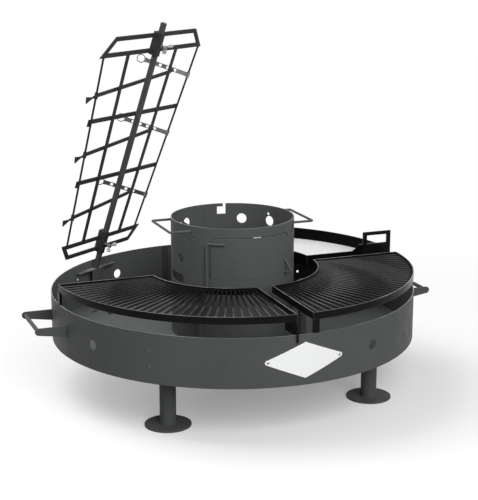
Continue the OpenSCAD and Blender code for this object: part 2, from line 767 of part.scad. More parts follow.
module rack_uprights() color(rack_grey) on_rack() rack_flat(flat_back, flat_t) for (s = [-1, 1]) {
  polygon([for (p = [[-1, rod_v0()], [1, rod_v0()], [1, rod_v1()], [-1, rod_v1()]])
    [s * upright_at(p[1]) + p[0] * upright_w / 2, p[1]]]);
}

// Crossbars behind the uprights, each with a small tab turned down at its left end
module rack_crossbars() color(rack_grey) on_rack() rack_flat(flat_back - flat_t, flat_t) for (v = cross_v) {
  half = rod_at(v) + cross_over;
  translate([-half, v - flat_w / 2]) square([2 * half, flat_w]);
  translate([half - 9, v - flat_w / 2 - 9]) square([9, 10]);
}

// Clamps on the side rods

// Hinge frame on a side rod: z up the rod, x away from the rack on the +u side
module on_rod(side, v) on_rack() translate([side * rod_at(v), rod_d, v])
  rotate([0, side * rod_tilt, 0]) children();

module knuckle() difference() {
  cylinder(r = rod_r + knuckle_gap + knuckle_t, h = knuckle_len, center = true);
  cylinder(r = rod_r + knuckle_gap, h = knuckle_len + 2, center = true);
}

// Ring strap in the hinge frame, turned to its angle: a flat link with latch holes and a finger ring
module ring_strap(i) color(zinc) on_rod(-1, strap_v[i]) rotate([0, 0, -strap_angle[i]]) {
  start = rod_r + knuckle_gap + 1;
  knuckle();
  translate([0, strap_t / 2, 0]) rotate([90, 0, 0]) linear_extrude(strap_t) difference() {
    union() {
      translate([start, -strap_w / 2]) square([strap_len - start - finger_ring_r - 8, strap_w]);
      polygon([
        [strap_len - finger_ring_r - 9, -strap_w / 2], [strap_len - 4, -finger_ring_r * 0.6],
        [strap_len - 4, finger_ring_r * 0.6], [strap_len - finger_ring_r - 9, strap_w / 2]]);
      translate([strap_len, 0]) circle(r = finger_ring_r);
    }
    translate([strap_len, 0]) circle(r = finger_ring_r - 3);
    for (k = [0:3]) translate([latch_start + k * latch_step, 0]) circle(r = latch_r);
  }
}

// Where a clamp arm's tip points: just short of the first latch hole of its strap
tip_gap = 6;
function tip_u(i) = -rod_at(strap_v[i]) + latch_start * cos(strap_angle[i]) + tip_gap;
function tip_d(i) = latch_start * sin(strap_angle[i]);
function tip_v(i) = strap_v[i] + latch_start * cos(strap_angle[i]) * sin(rod_tilt);

// Clamp arm in the hinge frame: it runs across behind the rack and narrows to a tip
module clamp_arm(i) color(rack_grey) {
  across = rod_at(arm_v[i]) - tip_u(i);
  up = tip_v(i) - arm_v[i];
  reach_x = across * cos(rod_tilt) + up * sin(rod_tilt);
  reach_z = up * cos(rod_tilt) - across * sin(rod_tilt);
  reach = sqrt(reach_x * reach_x + tip_d(i) * tip_d(i));
  slope = atan(reach_z / reach);
  start = rod_r + knuckle_gap + 1;
  on_rod(1, arm_v[i]) rotate([0, 0, atan(tip_d(i) / reach_x)]) {
    knuckle();
    translate([0, arm_t / 2, 0]) rotate([90, 0, 0]) linear_extrude(arm_t) difference() {
      polygon([
        [-start, -arm_w / 2], [-start, arm_w / 2],
        [-reach + 34, arm_w / 2 + (reach - 34) * tan(slope)], [-reach, reach_z + 1.5],
        [-reach, reach_z - 1.5], [-reach + 34, -arm_w / 2 + (reach - 34) * tan(slope)]]);
      translate([-reach + 92, (reach - 92) * tan(slope)]) circle(r = 4.2);
    }
    arm_lug();
  }
}

// Thumb lug beyond the hinge: a fin that widens like a fan away from the rod
module arm_lug() {
  start = rod_r + knuckle_gap + 1;
  translate([0, 1.5, 0]) rotate([90, 0, 0]) linear_extrude(3)
    polygon([[start, -6], [22, -5], [52, -15], [56, 9], [24, 1], [start, 3]]);
}

// Wing screw in a nut on the sleeve's front
module wing_screw(i) color(zinc) on_rack() screw_place(i) {
  hub_z = 14;
  tip = sleeve_t + sleeve_gap - 0.1;
  translate([0, 0, -tip]) cylinder(r = screw_r, h = hub_z + tip);
  translate([0, 0, hub_z]) cylinder(r1 = screw_r, r2 = screw_r + 3, h = 4);
  translate([0, 0, hub_z + 4]) cylinder(r = screw_r + 3, h = 7);
  rotate([0, 0, 32]) for (s = [0, 180]) rotate([90, 0, s]) translate([0, 0, -1.5]) linear_extrude(3)
    union() {
      polygon([[3, hub_z + 5], [20, hub_z + 10], [24, hub_z + 22], [15, hub_z + 24], [3, hub_z + 11]]);
      translate([17, hub_z + 17]) circle(r = 7.5);
    }
}

drum_wall();
drum_floor();
drum_seam_strip();
leg_tube(0);  // leg_tube_right_front
leg_tube(1);  // leg_tube_right_back
leg_tube(2);  // leg_tube_left_back
leg_tube(3);  // leg_tube_left_front
leg_foot(0);  // leg_foot_right_front
leg_foot(1);  // leg_foot_right_back
leg_foot(2);  // leg_foot_left_back
leg_foot(3);  // leg_foot_left_front
leg_flange(0);  // leg_flange_right_front
leg_flange(1);  // leg_flange_right_back
leg_flange(2);  // leg_flange_left_back
leg_flange(3);  // leg_flange_left_front
leg_bolts();
side_handle_arms(0);  // side_handle_arms_right
side_handle_arms(180);  // side_handle_arms_left
side_handle_grip(0);  // side_handle_grip_right
side_handle_grip(180);  // side_handle_grip_left
front_plate();
front_plate_rivets();
inner_posts();
post_saddles();
rack_bracket();
ring_wall();
ring_handle(0);  // ring_handle_right
ring_handle(180);  // ring_handle_left
hinge_sleeves();
door_panel();
door_hinge_rod();
door_handle();
grate_frame(-90);  // grate_left_frame
grate_bars(-90);  // grate_left_bars
grate_supports(-90);  // grate_left_supports
grate_frame(0);  // grate_right_frame
grate_bars(0);  // grate_right_bars
grate_supports(0);  // grate_right_supports
griddle_pan();
griddle_loops();
griddle_supports();
rack_spine();
rack_sleeves();
rack_nuts();
rack_loop(top_loop_v, top_loop_u);  // rack_top_loop
rack_loop(low_loop_v, low_loop_u);  // rack_bottom_loop
rack_side_rods();
rack_uprights();
rack_crossbars();
clamp_arm(0);  // clamp_arm_low
clamp_arm(1);  // clamp_arm_middle
clamp_arm(2);  // clamp_arm_top
ring_strap(0);  // ring_strap_low
ring_strap(1);  // ring_strap_middle
ring_strap(2);  // ring_strap_top
wing_screw(0);  // wing_screw_low
wing_screw(1);  // wing_screw_top
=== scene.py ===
"""Fire pit grill: paint, enamel, weld beads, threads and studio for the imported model.

Laid out as an add-on and run as a script. Lengths are metres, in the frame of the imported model.
"""

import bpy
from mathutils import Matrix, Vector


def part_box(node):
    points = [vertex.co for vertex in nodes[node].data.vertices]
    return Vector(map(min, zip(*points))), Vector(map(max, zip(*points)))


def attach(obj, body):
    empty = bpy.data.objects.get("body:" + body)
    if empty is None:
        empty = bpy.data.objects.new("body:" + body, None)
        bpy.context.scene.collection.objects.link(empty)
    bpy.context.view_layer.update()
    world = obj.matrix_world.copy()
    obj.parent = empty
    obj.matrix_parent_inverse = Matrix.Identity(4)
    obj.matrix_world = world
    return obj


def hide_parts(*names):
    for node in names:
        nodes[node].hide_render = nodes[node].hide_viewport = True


bl_info = {
    "name": "Fire Pit Grill",
    "version": (1, 0, 0),
    "blender": (4, 5, 0),
    "location": "3D View > Sidebar > Fire Pit",
    "description": "Paint, enamel, weld beads, threads and studio of a fire pit grill",
    "category": "Object",
}

import math

import bpy
from bpy.props import FloatProperty, FloatVectorProperty, IntProperty, PointerProperty
from mathutils import Matrix, Vector

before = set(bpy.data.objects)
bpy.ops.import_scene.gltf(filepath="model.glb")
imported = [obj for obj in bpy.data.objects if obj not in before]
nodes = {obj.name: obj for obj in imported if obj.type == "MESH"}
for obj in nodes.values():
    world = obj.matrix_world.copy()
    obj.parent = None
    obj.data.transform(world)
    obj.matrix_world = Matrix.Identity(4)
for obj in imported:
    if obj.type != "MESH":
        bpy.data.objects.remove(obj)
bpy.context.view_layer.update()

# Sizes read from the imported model

drum_low, drum_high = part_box("drum_wall")
DRUM_R = drum_high.x
DRUM_BOTTOM = drum_low.z
RIM_Z = drum_high.z
FLOOR_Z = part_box("drum_floor")[1].z
RING_LOW, RING_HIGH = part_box("ring_wall")
RING_R = RING_HIGH.x

# Sizes repeated from the part's source, in metres

SHEET = 0.003
LEG_CIRCLE_R = 0.483
LEG_R = 0.0254
FOOT_T = 0.005
FLANGE_BOLT_CIRCLE_R = 0.042
BOLT_R = 0.004
HANDLE_HALF = 0.098
HANDLE_ARM_T = 0.005
HANDLE_REACH = 0.0795
GRIP_R = 0.0065
POST_R = 0.0125
POST_CIRCLE_R = 0.250
RACK_ANGLE = math.radians(-143.5)
RACK_LEAN = math.radians(19.8)
RACK_R = 0.5825
RACK_Z = RIM_Z + 0.0036
SPINE_D = 0.0116
SLEEVE_OUT = 0.0103
FLAT_FRONT = 0.0013
FLAT_BACK = -0.0027
ROD_D = 0.0008
ROD_R = 0.0035
ROD_U = (0.192, 0.265)
ROD_V = (0.0995, 0.7945)
UPRIGHT_U = (0.102, 0.134)
CROSS_V = (0.341, 0.569)
ARM_V = (0.211, 0.451, 0.665)
STRAP_V = (0.224, 0.467, 0.689)
STRAP_ANGLE = (50, 54, 57)
SLEEVE_V = (0.036, 0.787)
SLEEVE_LEN = (0.083, 0.079)
LOOP_FLATS = ((0.0405, 0.0555), (0.0845, 0.0995), (0.7945, 0.8095), (0.8485, 0.8635))
GRATE_INNER_R = 0.2834
GRATE_R = 0.598
GRATE_SIDE = 0.025
GRATE_TOP = 0.389
BAND_H = 0.022
BAND_T = 0.003
BAR_COUNT = 32
BAR_NEAR_STEP = math.radians(2.42)
BAR_FAR_STEP = math.radians(2.60)
BAR_R = 0.0036
BAR_Z = GRATE_TOP - 0.0065


def at(angle, radius, z=0.0, across=0.0):
    """Point at an angle round the drum, counted from the front towards the right."""
    a = math.radians(angle)
    return Vector((radius * math.sin(a) + across * math.cos(a), -radius * math.cos(a) + across * math.sin(a), z))


def rack_place():
    """Matrix of the rack's own frame: x across, y towards the fire, z up the slope."""
    return (
        Matrix.Rotation(RACK_ANGLE, 4, "Z")
        @ Matrix.Translation((0, -RACK_R, RACK_Z))
        @ Matrix.Rotation(-RACK_LEAN, 4, "X")
    )


def rod_at(v):
    """Half distance between the side rods at a height on the rack."""
    return ROD_U[0] + (ROD_U[1] - ROD_U[0]) * (v - ROD_V[0]) / (ROD_V[1] - ROD_V[0])


def upright_at(v):
    """Half distance between the uprights at a height on the rack."""
    return UPRIGHT_U[0] + (UPRIGHT_U[1] - UPRIGHT_U[0]) * (v - ROD_V[0]) / (ROD_V[1] - ROD_V[0])


def rod_place(side, v):
    """Matrix of a hinge on a side rod: z up the rod."""
    tilt = math.atan((ROD_U[1] - ROD_U[0]) / (ROD_V[1] - ROD_V[0]))
    return rack_place() @ Matrix.Translation((side * rod_at(v), ROD_D, v)) @ Matrix.Rotation(side * tilt, 4, "Y")


# Settings


class FirePitFinish(bpy.types.PropertyGroup):
    """Colours and wear of the painted, enamelled and plated parts, and the painted highlight along their edges."""

    paint_colour: FloatVectorProperty(
        name="Drum paint",
        description="Colour of the heat paint on the drum, the legs and the fire ring",
        subtype="COLOR",
        size=3,
        min=0.0,
        max=1.0,
        default=(0.066, 0.069, 0.068),
    )
    inside_colour: FloatVectorProperty(
        name="Inside paint",
        description="Colour of the heat paint on the drum's floor and the inner posts",
        subtype="COLOR",
        size=3,
        min=0.0,
        max=1.0,
        default=(0.055, 0.0575, 0.0568),
    )
    rack_colour: FloatVectorProperty(
        name="Rack paint",
        description="Colour of the heat paint on the roasting rack",
        subtype="COLOR",
        size=3,
        min=0.0,
        max=1.0,
        default=(0.030, 0.0315, 0.031),
    )
    enamel_colour: FloatVectorProperty(
        name="Enamel",
        description="Colour of the enamel on the grates and the griddle",
        subtype="COLOR",
        size=3,
        min=0.0,
        max=1.0,
        default=(0.0035, 0.0037, 0.0038),
    )
    zinc_colour: FloatVectorProperty(
        name="Zinc",
        description="Colour of the plated straps, screws, nuts and bolts",
        subtype="COLOR",
        size=3,
        min=0.0,
        max=1.0,
        default=(0.21, 0.216, 0.219),
    )
    plate_colour: FloatVectorProperty(
        name="Front plate",
        description="Colour of the bare stainless front plate",
        subtype="COLOR",
        size=3,
        min=0.0,
        max=1.0,
        default=(0.79, 0.795, 0.80),
    )
    # Pale colour of the cooking face: the steel's grey with a painted reflection of the bright room in it.
    griddle_colour: FloatVectorProperty(
        name="Cooking face",
        description="Colour of the griddle's bare cooking face",
        subtype="COLOR",
        size=3,
        min=0.0,
        max=1.0,
        default=(0.68, 0.68, 0.675),
    )
    # Edge wear and highlight: edges are made lighter, partly as worn paint and partly as a painted highlight where they
    # catch the light.
    edge_wear_and_highlight: FloatProperty(
        name="Edge wear",
        description="How much lighter the paint is along its sheared edges",
        subtype="FACTOR",
        min=0.0,
        max=1.0,
        default=0.6,
    )
    grain_depth: FloatProperty(
        name="Paint grain",
        description="Depth of the sprayed grain of the heat paint",
        unit="LENGTH",
        min=0.0,
        max=0.001,
        default=0.00012,
    )


class FirePitWelds(bpy.types.PropertyGroup):
    """Sizes of the weld beads."""

    bead: FloatProperty(
        name="Bead",
        description="Radius of a weld bead on the drum and the legs",
        unit="LENGTH",
        min=0.001,
        max=0.005,
        default=0.0024,
    )
    fine_bead: FloatProperty(
        name="Fine bead",
        description="Radius of a weld bead on the grates and the rack",
        unit="LENGTH",
        min=0.0006,
        max=0.003,
        default=0.0013,
    )
    ripple: FloatProperty(
        name="Ripple",
        description="Length of one ripple as a share of the bead's radius",
        subtype="FACTOR",
        min=0.5,
        max=2.0,
        default=1.0,
    )


class FirePitThreads(bpy.types.PropertyGroup):
    """Sizes of threads and washers."""

    pitch: FloatProperty(
        name="Pitch",
        description="Distance from one thread to the next",
        unit="LENGTH",
        min=0.0008,
        max=0.002,
        default=0.00125,
    )
    depth: FloatProperty(
        name="Depth",
        description="How far a thread stands out of its shank",
        unit="LENGTH",
        min=0.0001,
        max=0.001,
        default=0.0005,
    )
    segments: IntProperty(
        name="Segments",
        description="Number of steps in one turn of a thread",
        min=8,
        max=64,
        default=24,
    )


class FirePitStudio(bpy.types.PropertyGroup):
    """Camera, floor and lamps."""

    camera_place: FloatVectorProperty(
        name="Camera",
        description="Place of the camera",
        subtype="TRANSLATION",
        unit="LENGTH",
        size=3,
        default=(-1.474, -3.8705, 1.460),
    )
    camera_turn: FloatProperty(
        name="Camera turn",
        description="Turn of the camera's view round the upright axis",
        subtype="ANGLE",
        default=math.radians(-20.85) - 0.0052345,
    )
    camera_dip: FloatProperty(
        name="Camera dip",
        description="How far the camera looks down",
        subtype="ANGLE",
        default=0.24112,
    )
    camera_lens: FloatProperty(
        name="Lens",
        description="Focal length in millimetres",
        min=20.0,
        max=200.0,
        default=92.63,
    )
    floor_colour: FloatVectorProperty(
        name="Floor",
        description="Colour of the studio floor",
        subtype="COLOR",
        size=3,
        min=0.0,
        max=1.0,
        default=(0.8, 0.8, 0.8),
    )
    key_power: FloatProperty(
        name="Key lamp",
        description="Power of the soft lamp in front",
        unit="POWER",
        min=0.0,
        default=310.0,
    )
    top_power: FloatProperty(
        name="Top lamp",
        description="Power of the soft lamp above",
        unit="POWER",
        min=0.0,
        default=150.0,
    )
    shadow_lift: FloatProperty(
        name="Shadow lift",
        description="How much of the floor's shadow is lifted towards white under the grill",
        subtype="FACTOR",
        min=0.0,
        max=1.0,
        default=0.25,
    )
    room_light: FloatProperty(
        name="Room light",
        description="Strength of the even light from all sides",
        min=0.0,
        max=2.0,
        default=0.36,
    )


# Materials


def add_node(tree, kind, links=None, values=None, **settings):
    """Adds a shader node, sets its settings and values, and links its inputs."""
    node = tree.nodes.new(kind)
    for key, value in settings.items():
        setattr(node, key, value)
    for key, value in (values or {}).items():
        node.inputs[key].default_value = value
    for key, source in (links or {}).items():
        tree.links.new(source, node.inputs[key])
    return node


def new_material(name):
    """Empty material with its node tree, its Principled shader and its object coordinates."""
    material = bpy.data.materials.new(name)
    material.use_nodes = True
    tree = material.node_tree
    tree.nodes.clear()
    shader = add_node(tree, "ShaderNodeBsdfPrincipled")
    output = add_node(tree, "ShaderNodeOutputMaterial", {"Surface": shader.outputs["BSDF"]})
    output.location = (600, 0)
    place = add_node(tree, "ShaderNodeTexCoord").outputs["Object"]
    return material, tree, shader, place


def noise(tree, place, scale, detail=2.0, roughness=0.5):
    """Grey noise in the part's own coordinates."""
    node = add_node(
        tree,
        "ShaderNodeTexNoise",
        {"Vector": place},
        {"Scale": scale, "Detail": detail, "Roughness": roughness},
    )
    return node.outputs["Fac"]


def remap(tree, value, low, high, to_low, to_high):
    """Stretches a value from one range to another, and keeps it there."""
    node = add_node(
        tree,
        "ShaderNodeMapRange",
        {"Value": value},
        {"From Min": low, "From Max": high, "To Min": to_low, "To Max": to_high},
        clamp=True,
    )
    return node.outputs["Result"]


def blend_colours(tree, factor, first, second):
    """Mixes two colours, each given as a colour or as an output."""
    node = add_node(tree, "ShaderNodeMix", data_type="RGBA")
    tree.links.new(factor, node.inputs["Factor"])
    for socket, colour in ((node.inputs[6], first), (node.inputs[7], second)):
        if isinstance(colour, bpy.types.NodeSocket):
            tree.links.new(colour, socket)
        else:
            socket.default_value = (*colour, 1.0)
    return node.outputs[2]


def shade(colour, factor):
    """The same colour, lighter or darker."""
    return tuple(min(1.0, c * factor) for c in colour)


def bump(tree, height, distance, strength=1.0, normal=None):
    """Bump from a grey height. The distance is the height of a full step."""
    links = {"Height": height}
    if normal is not None:
        links["Normal"] = normal
    return add_node(tree, "ShaderNodeBump", links, {"Distance": distance, "Strength": strength}).outputs["Normal"]


def soft_edges(tree, radius):
    """Normals that turn gently round every sheared edge."""
    return add_node(tree, "ShaderNodeBevel", None, {"Radius": radius}, samples=4).outputs["Normal"]


def edge_mask(tree, normal, low=0.02, high=0.25):
    """Bright along edges, dark on flat faces, from how far the gentle normal leaves the true one."""
    true_normal = add_node(tree, "ShaderNodeNewGeometry").outputs["True Normal"]
    dot = add_node(tree, "ShaderNodeVectorMath", operation="DOT_PRODUCT")
    tree.links.new(normal, dot.inputs[0])
    tree.links.new(true_normal, dot.inputs[1])
    away = add_node(tree, "ShaderNodeMath", operation="SUBTRACT")
    away.inputs[0].default_value = 1.0
    tree.links.new(dot.outputs["Value"], away.inputs[1])
    return remap(tree, away.outputs["Value"], low, high, 0.0, 1.0)


def multiply(tree, first, second):
    """Product of two values, each given as a number or as an output."""
    node = add_node(tree, "ShaderNodeMath", operation="MULTIPLY")
    for socket, value in ((node.inputs[0], first), (node.inputs[1], second)):
        if isinstance(value, bpy.types.NodeSocket):
            tree.links.new(value, socket)
        else:
            socket.default_value = value
    return node.outputs["Value"]


def heat_paint(name, colour, roughness=0.5, wear_and_highlight=0.6, grain=0.00012, lighter=1.9):
    """Sprayed silicone heat paint on sheet steel: satin, finely grained, a little cloudy, lighter on its edges, partly
    from wear and partly as a painted highlight.
    """
    material, tree, shader, place = new_material(name)
    clouds = noise(tree, place, 3.5, 4.0, 0.55)
    flecks = noise(tree, place, 140.0, 3.0, 0.6)
    body = blend_colours(tree, remap(tree, clouds, 0.3, 0.7, 0.0, 1.0), shade(colour, 0.9), shade(colour, 1.1))
    body = blend_colours(tree, remap(tree, flecks, 0.35, 0.75, 0.0, 0.5), body, shade(colour, 1.25))
    edges = soft_edges(tree, 0.0012)
    # Lighter along the edges: partly worn paint, partly a painted highlight.
    worn_and_highlit = multiply(tree, edge_mask(tree, edges), remap(tree, noise(tree, place, 60.0, 3.0), 0.3, 0.7, wear_and_highlight * 0.5, wear_and_highlight))
    body = blend_colours(tree, worn_and_highlit, body, shade(colour, lighter))
    tree.links.new(body, shader.inputs["Base Color"])
    grit = noise(tree, place, 1500.0, 2.0, 0.6)
    rough = remap(tree, noise(tree, place, 22.0, 4.0), 0.3, 0.7, roughness - 0.05, roughness + 0.06)
    tree.links.new(rough, shader.inputs["Roughness"])
    tree.links.new(bump(tree, grit, grain, 0.6, edges), shader.inputs["Normal"])
    shader.inputs["Specular IOR Level"].default_value = 0.06
    return material


def black_enamel(name, colour, shine=0.2, gloss=0.055, edge=0.1):
    """Black vitreous enamel: glassy over a very slightly wavy sheet, with pale pinpricks and thin light edges. The
    light edges are a painted highlight.
    """
    material, tree, shader, place = new_material(name)
    edges = soft_edges(tree, 0.0013)
    pricks = add_node(
        tree, "ShaderNodeTexVoronoi", {"Vector": place}, {"Scale": 420.0, "Randomness": 1.0}, feature="F1"
    ).outputs["Distance"]
    speck = multiply(
        tree, remap(tree, pricks, 0.05, 0.12, 1.0, 0.0), remap(tree, noise(tree, place, 90.0, 1.0), 0.58, 0.7, 0.0, 0.5)
    )
    body = blend_colours(tree, remap(tree, noise(tree, place, 6.0, 4.0), 0.3, 0.7, 0.0, 1.0), colour, shade(colour, 1.5))
    body = blend_colours(tree, speck, body, (0.08, 0.08, 0.08))
    # Grey along the edges by the edge setting: a painted highlight.
    body = blend_colours(tree, multiply(tree, edge_mask(tree, edges), 0.8), body, (edge, edge, edge))
    tree.links.new(body, shader.inputs["Base Color"])
    rough = remap(tree, noise(tree, place, 14.0, 5.0, 0.6), 0.3, 0.75, shine * 0.75, shine * 1.5)
    tree.links.new(rough, shader.inputs["Roughness"])
    waves = bump(tree, noise(tree, place, 38.0, 2.0, 0.4), 0.0004, 0.35, edges)
    tree.links.new(bump(tree, noise(tree, place, 420.0, 1.0), 0.00004, 0.5, waves), shader.inputs["Normal"])
    shader.inputs["Specular IOR Level"].default_value = gloss
    return material


def rubbed_and_highlit_edge(name, colour):
    """Sheared edge of painted or enamelled sheet: the coat is thin there, and rubbed through to grey in stretches. Its
    pale grey is also a painted highlight where the edge catches the light.
    """
    material, tree, shader, place = new_material(name)
    stretches = remap(tree, noise(tree, place, 7.0, 3.0, 0.6), 0.4, 0.62, 0.1, 1.0)
    nicks = remap(tree, noise(tree, place, 190.0, 3.0, 0.6), 0.3, 0.65, 0.45, 1.0)
    body = blend_colours(tree, multiply(tree, stretches, nicks), colour, (0.30, 0.305, 0.30))
    tree.links.new(body, shader.inputs["Base Color"])
    rough = remap(tree, noise(tree, place, 60.0, 3.0), 0.3, 0.7, 0.32, 0.5)
    tree.links.new(rough, shader.inputs["Roughness"])
    tree.links.new(bump(tree, nicks, 0.00006, 0.5, soft_edges(tree, 0.0008)), shader.inputs["Normal"])
    shader.inputs["Specular IOR Level"].default_value = 0.3
    return material


def cooking_face(name, colour):
    """Bare steel of the griddle's cooking face, ground and then polished with use, with faint round strokes. Its pale
    colour is laid on mostly as matte colour, a painted reflection of the bright room in the steel.
    """
    material, tree, shader, place = new_material(name)
    radial = add_node(
        tree, "ShaderNodeTexWave", {"Vector": place}, {"Scale": 90.0, "Distortion": 2.0, "Detail": 3.0}, wave_type="RINGS"
    ).outputs["Fac"]
    clouds = noise(tree, place, 7.0, 5.0, 0.55)
    body = blend_colours(tree, remap(tree, clouds, 0.3, 0.7, 0.0, 1.0), shade(colour, 0.95), shade(colour, 1.03))
    body = blend_colours(tree, multiply(tree, radial, 0.3), body, shade(colour, 0.93))
    tree.links.new(body, shader.inputs["Base Color"])
    # Only a quarter metallic: the rest of the pale colour is a painted reflection.
    shader.inputs["Metallic"].default_value = 0.25
    rough = remap(tree, noise(tree, place, 45.0, 5.0, 0.6), 0.3, 0.75, 0.44, 0.6)
    tree.links.new(rough, shader.inputs["Roughness"])
    tree.links.new(bump(tree, radial, 0.00001, 0.5, soft_edges(tree, 0.0008)), shader.inputs["Normal"])
    return material


def zinc_plate(name, colour, roughness=0.36):
    """Zinc plating: cold grey metal with a faint spangle and dull scuffs."""
    material, tree, shader, place = new_material(name)
    spangle = add_node(
        tree, "ShaderNodeTexVoronoi", {"Vector": place}, {"Scale": 260.0, "Randomness": 1.0}, feature="F1"
    )
    cell = add_node(tree, "ShaderNodeSeparateColor", {"Color": spangle.outputs["Color"]}).outputs["Red"]
    body = blend_colours(tree, cell, shade(colour, 0.88), shade(colour, 1.12))
    scuffs = remap(tree, noise(tree, place, 75.0, 5.0, 0.65), 0.45, 0.75, 0.0, 0.55)
    body = blend_colours(tree, scuffs, body, shade(colour, 0.72))
    tree.links.new(body, shader.inputs["Base Color"])
    shader.inputs["Metallic"].default_value = 1.0
    rough = remap(tree, noise(tree, place, 120.0, 4.0), 0.3, 0.75, roughness - 0.07, roughness + 0.14)
    tree.links.new(rough, shader.inputs["Roughness"])
    edges = soft_edges(tree, 0.0005)
    tree.links.new(bump(tree, noise(tree, place, 1800.0, 2.0), 0.00003, 0.6, edges), shader.inputs["Normal"])
    return material


def brushed_plate(name, colour):
    """Bare stainless sheet, brushed lengthways and then polished."""
    material, tree, shader, place = new_material(name)
    stretch = add_node(tree, "ShaderNodeMapping", {"Vector": place}, {"Scale": (9.0, 9.0, 2600.0)}).outputs["Vector"]
    strokes = noise(tree, stretch, 1.0, 3.0, 0.7)
    broad = add_node(tree, "ShaderNodeMapping", {"Vector": place}, {"Scale": (3.0, 3.0, 420.0)}).outputs["Vector"]
    bands = noise(tree, broad, 1.0, 2.0, 0.5)
    body = blend_colours(tree, remap(tree, strokes, 0.3, 0.7, 0.0, 1.0), shade(colour, 0.93), shade(colour, 1.04))
    tree.links.new(body, shader.inputs["Base Color"])
    shader.inputs["Metallic"].default_value = 1.0
    rough = remap(tree, bands, 0.3, 0.7, 0.17, 0.27)
    tree.links.new(rough, shader.inputs["Roughness"])
    edges = soft_edges(tree, 0.0006)
    tree.links.new(bump(tree, strokes, 0.00003, 0.5, edges), shader.inputs["Normal"])
    return material


def finish_material(key):
    """The material of a finish, made the first time it is asked for."""
    if key in bpy.data.materials:
        return bpy.data.materials[key]
    finish = bpy.context.scene.fire_pit_finish
    wear_and_highlight, grain = finish.edge_wear_and_highlight, finish.grain_depth
    makers = {
        "drum paint": lambda: heat_paint(key, tuple(finish.paint_colour), 0.5, wear_and_highlight, grain),
        "drum weld paint": lambda: heat_paint(key, shade(finish.paint_colour, 0.92), 0.46, wear_and_highlight, grain * 2, 1.6),
        "inside paint": lambda: heat_paint(key, tuple(finish.inside_colour), 0.58, wear_and_highlight * 0.6, grain),
        # Inside paint made 1.9 times lighter for the drum's floor: painted light falling into the drum.
        "floor paint with painted light": lambda: heat_paint(key, shade(finish.inside_colour, 1.9), 0.6, wear_and_highlight * 0.4, grain),
        "rack paint": lambda: heat_paint(key, tuple(finish.rack_colour), 0.47, wear_and_highlight, grain * 1.5),
        "spine paint": lambda: heat_paint(key, shade(finish.rack_colour, 1.9), 0.47, wear_and_highlight, grain * 1.5),
        "rack weld paint": lambda: heat_paint(key, shade(finish.rack_colour, 0.92), 0.44, wear_and_highlight, grain * 2, 1.6),
        "black enamel": lambda: black_enamel(key, tuple(finish.enamel_colour)),
        # Bar and tray enamel: the last number is the painted edge highlight.
        "bar enamel": lambda: black_enamel(key, tuple(finish.enamel_colour), 0.18, 0.2, 0.05),
        "tray enamel": lambda: black_enamel(key, shade(finish.enamel_colour, 0.6), 0.3, 0.02, 0.06),
        # Rubbed edges: worn coat and painted highlight in one.
        "rubbed and highlit edge": lambda: rubbed_and_highlit_edge(key, tuple(finish.paint_colour)),
        "rubbed and highlit enamel edge": lambda: rubbed_and_highlit_edge(key, shade(finish.enamel_colour, 4.0)),
        # Drum paint made 1.3 times lighter for the drum's inner faces: painted light inside the drum.
        "drum inside paint with painted light": lambda: heat_paint(key, shade(finish.paint_colour, 1.3), 0.55, wear_and_highlight * 0.6, grain),
        # Drum paint made 1.14 times lighter for the fire ring and its door: painted light.
        "ring paint with painted light": lambda: heat_paint(key, shade(finish.paint_colour, 1.14), 0.5, wear_and_highlight, grain),
        "cooking face": lambda: cooking_face(key, tuple(finish.griddle_colour)),
        "zinc plating": lambda: zinc_plate(key, tuple(finish.zinc_colour)),
        "bare stainless": lambda: brushed_plate(key, tuple(finish.plate_colour)),
    }
    return makers[key]()


def paint_nodes(key, *names):
    """Gives CAD nodes a finish, through the slots that they have."""
    material = finish_material(key)
    for name in names:
        piece = nodes[name]
        if not piece.material_slots:
            piece.data.materials.append(material)
        for slot in piece.material_slots:
            slot.material = material


def finish_faces(name, key, chosen):
    """Gives some faces of a CAD node their own finish. The test takes a face's normal and its centre."""
    mesh = nodes[name].data
    mesh.materials.append(finish_material(key))
    for face in mesh.polygons:
        if chosen(face.normal, face.center):
            face.material_index = len(mesh.materials) - 1


def rub_and_highlight_rim(name, height, key="rubbed and highlit edge"):
    """Gives the sheared edge along a piece's top its own finish, lighter than the sheet's faces: partly rubbed coat,
    partly a painted highlight.
    """
    finish_faces(name, key, lambda normal, centre: normal.z > 0.9 and centre.z > height - 0.0005)


# Added pieces


